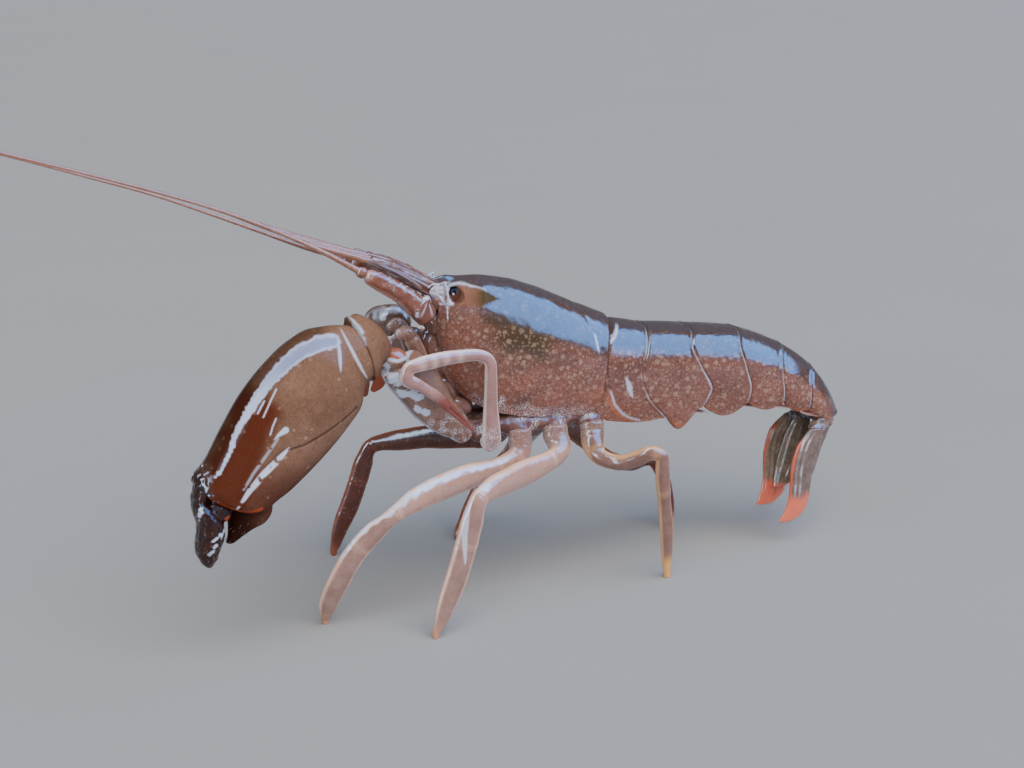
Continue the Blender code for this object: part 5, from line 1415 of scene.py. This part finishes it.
def build_eye_notch(side, word):
    """The ridged plate in front of the eye."""
    grids = [ball((-6.65, 1.85 * side, 27.9), (0.95, 0.32, 0.66), 36, 24),
             ball((-6.6, 1.3 * side, 27.0), (0.95, 0.95, 0.95), 32, 20),
             ball((-5.95, 2.5 * side, 26.9), (0.42, 0.30, 0.24), 28, 18)]
    for line, width in NOTCH_RIDGES:
        ridge = limb_spine([(x, y * side, z, width, width) for x, y, z in line])
        grids.append(tube(ridge, 14, 0.06, ends=(0.08, 0.08)))

    # Two pits, dug into the plate and painted dark as the shade in them.
    def pits(skin):
        return sum(bell(skin.away(x, z), 0, 0.12) for x, z in NOTCH_PITS)

    # Painted highlights along the ridges and on the plate's outer parts.
    def edge(skin):
        aside = np.abs(skin.y)
        return most(*(skin.near([(x, z) for x, _, z in line], 0.16, 0.07) for line, _ in NOTCH_RIDGES),
                    ease(27.1, 26.9, skin.z) * (aside > 2.2), 0.55 * (aside > 1.7) * ease(27.2, 27.5, skin.z))
    make_solid(f"eye_notch_{word}", STALK, "feeler", form_of(*grids), (),
               lambda skin: 0.012 * skin.lumps(0.3, 75) - 0.10 * pits(skin), {"edge": edge, "ring": pits},
               voxel=0.05, rounds=1)


def build_antennule(side, word):
    """The short two-branched feeler on its ridged stalk."""
    stalk = limb_spine(mirrored(ANTENNULE, side))

    def steps(skin):
        share = skin.share(stalk)
        return sum(0.05 * bell(share, stop - 0.04, 0.03) - 0.07 * bell(share, stop, 0.012)
                   for stop in (0.46, 0.72)) * 0.6 + 0.02 * skin.lumps(0.35, 72)
    make_solid(f"antennule_{word}_stalk", STALK, "feeler",
               form_of(tube(stalk, 96, 0.08, ends=(0.35, 0.2), shape=ridged(8, 0.06))), [f"antennule_{word}"],
               steps, ridge_masks(stalk, 8, 0.12))
    branches = [ringed_tube(mirrored([(x, y, z, w * 0.8, t * 0.8) for x, y, z, w, t in rows], side))
                for rows in (SHORT_FEELER, THIN_FEELER)]
    make_solid(f"antennule_feelers_{word}", FEELER, "feeler", form_of(*branches), (), None,
               ring_mask(mirrored(THIN_FEELER, side)))


def build_antenna(side, word):
    """The long feeler's base: its shaft, its root with a star of ridges, and the plate beside it."""
    rows = mirrored(ANTENNA_BASE, side)
    base, shaft = limb_spine(rows), limb_spine(rows[1:])
    star = np.array((-8.1, 3.4 * side, 27.7))

    def shaft_masks(skin):
        share = skin.share(shaft)
        line = bell(skin.lumps(0.9, 77, (0.5, 1, 1.6)), 0.3, 0.18) * ease(0.2, 0.5, skin.nz)
        # edge: painted highlights along a wavy line on top and round the end.
        return {"edge": most(0.8 * line, ease(0.9, 1.0, share) * 0.7) * ease(0.05, 0.2, share),
                # tip: an orange end, and a lighter orange underside that is painted light showing through.
                "tip": most(0.5 * ease(0.84, 0.95, share), ease(-0.35, -0.75, skin.nz)),
                # Painted sparkles.
                "frost": 0.3 * (skin.lumps(0.5, 73) > 0.5)}
    make_solid(f"antenna_shaft_{word}", BASE, "feeler",
               form_of(tube(shaft, 56, 0.08, ends=(0.4, 0.5), shape=ridged(3, 0.05))), (),
               rough_skin(0.5, 0.015, 74), shaft_masks)

    def rays(skin):
        way = skin.points - star
        return np.cos(np.arctan2(way[:, 2], way[:, 0]) * 9), way

    def root_relief(skin):
        fan, way = rays(skin)
        return 0.035 * fan * ease(0.2, 0.7, np.linalg.norm(way, axis=1)) * ease(2.2, 1.4, -way[:, 2])

    # Painted highlights on the crests of the star's ridges and along the root's outline.
    def root_edge(skin):
        fan, way = rays(skin)
        return most(ease(0.55, 0.95, fan) * ease(1.7, 0.9, -way[:, 2]) * 0.6,
                    *(skin.near(line, 0.2, 0.07) * 0.9 for line in ROOT_OUTLINE))
    root = form_of(tube(base, 56, 0.08, (0.0, 0.30), (0.5, 0.35), power=(0.9, 0.8)),
                   ball((-8.25, 3.1 * side, 27.5), (0.5, 0.55, 0.55), 28, 18))
    make_solid(f"antenna_root_{word}", BASE, "feeler", root, [f"antenna_base_{word}"], root_relief,
               {"edge": root_edge, "ring": lambda skin: 0.35}, voxel=0.07, rounds=1)
    plate = blade_spine(mirrored_blade([(a, b, c - 0.05, *rest) for a, b, c, *rest in SCALE], side))
    make_solid(f"antenna_plate_{word}", STALK, "feeler",
               form_of(tube(plate, 60, 0.08, ends=(0.25, 0.2), shape=ridged(5, 0.07))),
               [f"antenna_scale_{word}"], rough_skin(0.5, 0.01, 51), ridge_masks(plate, 5, 0.1))


def build_long_feeler(word):
    rows = [(*place, width, width) for place, width in zip(LONG_FEELERS[word], FEELER_WIDTHS)]
    knob = ball(np.array(rows[0][:3]) + (0.25, 0, -0.15), (0.55, 0.45, 0.5), 28, 18)
    make_solid(f"long_feeler_{word}", FEELER, "feeler", form_of(ringed_tube(rows), knob), [f"antenna_{word}"],
               None, ring_mask(rows))


def build_mouth_foot(side, word):
    foot = limb_spine(mirrored(MOUTH_FOOT, side))
    build_limb(f"mouth_foot_{word}_limb", foot, [tube(foot, 36, 0.1)], MOUTH, [f"mouth_foot_{word}"],
               (0.5, 0.82), 0.9, rounds=2,
               # Painted sparkles at the tip and the end.
               frost=lambda skin: 0.35 * ease(24.2, 24.8, skin.z) + 0.35 * ease(-10.3, -10.7, skin.x))


def build_mouth_parts():
    lobes = [ball((x, y * side, z), radii, 32, 20) for side, _ in SIDES for x, y, z, *radii in MOUTH_LOBES]
    make_solid("mouth_parts", MOUTH, "leg", form_of(*lobes), (),
               lambda skin: 0.05 * skin.lumps(0.8, 53) + 0.02 * skin.lumps(0.3, 54),
               {"joint": lambda skin: 0.6 * (skin.lumps(0.7, 55) > 0.3)}, voxel=0.1, rounds=2)


# Lamps, floor and camera

def place_lamp(name, kind, eye, target, power, colour, gleam, **form):
    """Puts a lamp in the scene. One that gleams is only seen mirrored in the wet shell, the others never."""
    lamp = bpy.data.lights.new(name, kind)
    for key, value in {"energy": power, "color": colour, **form}.items():
        setattr(lamp, key, value)
    obj = bpy.data.objects.new(name, lamp)
    obj.visible_diffuse = obj.visible_transmission = not gleam
    obj.visible_glossy = gleam
    bpy.context.scene.collection.objects.link(obj)
    eye, target = Vector(eye), Vector(target)
    obj.matrix_world = Matrix.Translation(eye) @ (target - eye).to_track_quat("-Z", "Y").to_matrix().to_4x4()


def way_from(azimuth, height):
    """The way from the animal to a point at an azimuth from its left and a height, in degrees."""
    a, h = math.radians(azimuth), math.radians(height)
    return np.array((math.sin(a) * math.cos(h), -math.cos(a) * math.cos(h), math.sin(h)))


def build_stage():
    form = bmesh.new()
    bmesh.ops.create_grid(form, x_segments=1, y_segments=1, size=6.0)
    mesh = bpy.data.meshes.new("floor")
    form.to_mesh(mesh)
    form.free()
    floor = bpy.data.objects.new("floor", mesh)
    bpy.context.scene.collection.objects.link(floor)
    paper = Finish("floor_paper", Roughness=0.75)
    mesh.materials.append(paper.feed(paper.mix(paper.noise(40), (0.36, 0.355, 0.345), (0.385, 0.38, 0.37))))
    world = bpy.data.worlds.new("studio")
    bpy.context.scene.world = world
    world.use_nodes = True
    backdrop = world.node_tree.nodes["Background"]
    backdrop.inputs["Color"].default_value = (0.92, 0.96, 1.0, 1.0)
    backdrop.inputs["Strength"].default_value = 0.22
    place_lamp("key_lamp", "SUN", way_from(10, 46), (0, 0, 0), 4.2, (1.0, 0.95, 0.90), False,
               angle=math.radians(70))
    place_lamp("sheet_lamp", "SUN", way_from(57, 46), (0, 0, 0), 15.0, (0.11, 0.40, 1.0), True,
               angle=math.radians(68))
    place_lamp("strip_lamp", "AREA", metres((-190.7, -93.0, 227.1)), metres((0, 0, 15)), 3.8,
               (0.52, 0.74, 1.0), True, shape="RECTANGLE", size=90 * MM, size_y=590 * MM)


# The photograph was taken from the animal's left, a little ahead of it and above it.
AZIMUTH, HEIGHT_ANGLE, ROLL = -16, 16, math.radians(2.5)
LENS, SENSOR, DISTANCE, AIM = 60.0, 36.0, 153.6, (0, 0, 18.3)


def build_camera():
    lens = bpy.data.cameras.new("camera")
    lens.lens, lens.sensor_width = LENS, SENSOR
    lens.clip_start, lens.clip_end = 0.005, 20.0
    camera = bpy.data.objects.new("camera", lens)
    bpy.context.scene.collection.objects.link(camera)
    back = way_from(AZIMUTH, HEIGHT_ANGLE)
    level = unit(np.array((-back[1], back[0], 0)))
    up = np.cross(back, level)
    axes = (level * math.cos(ROLL) - up * math.sin(ROLL), up * math.cos(ROLL) + level * math.sin(ROLL), back,
            metres(AIM + back * DISTANCE))
    camera.matrix_world = Matrix((*np.transpose(axes), (0, 0, 0, 1)))
    bpy.context.scene.camera = camera


build_camera()
build_carapace()
build_eyes()
build_tail_rings()
build_paddles()
build_fan()
build_legs()
build_breast()
build_second_legs()
build_claw_arm()
build_claw_wrist()
build_claw_hand()
build_claw_finger()
build_small_claw()
for side, word in SIDES:
    build_antennule(side, word)
    build_antenna(side, word)
    build_eye_notch(side, word)
    build_long_feeler(word)
    build_mouth_foot(side, word)
build_mouth_parts()
build_stage()
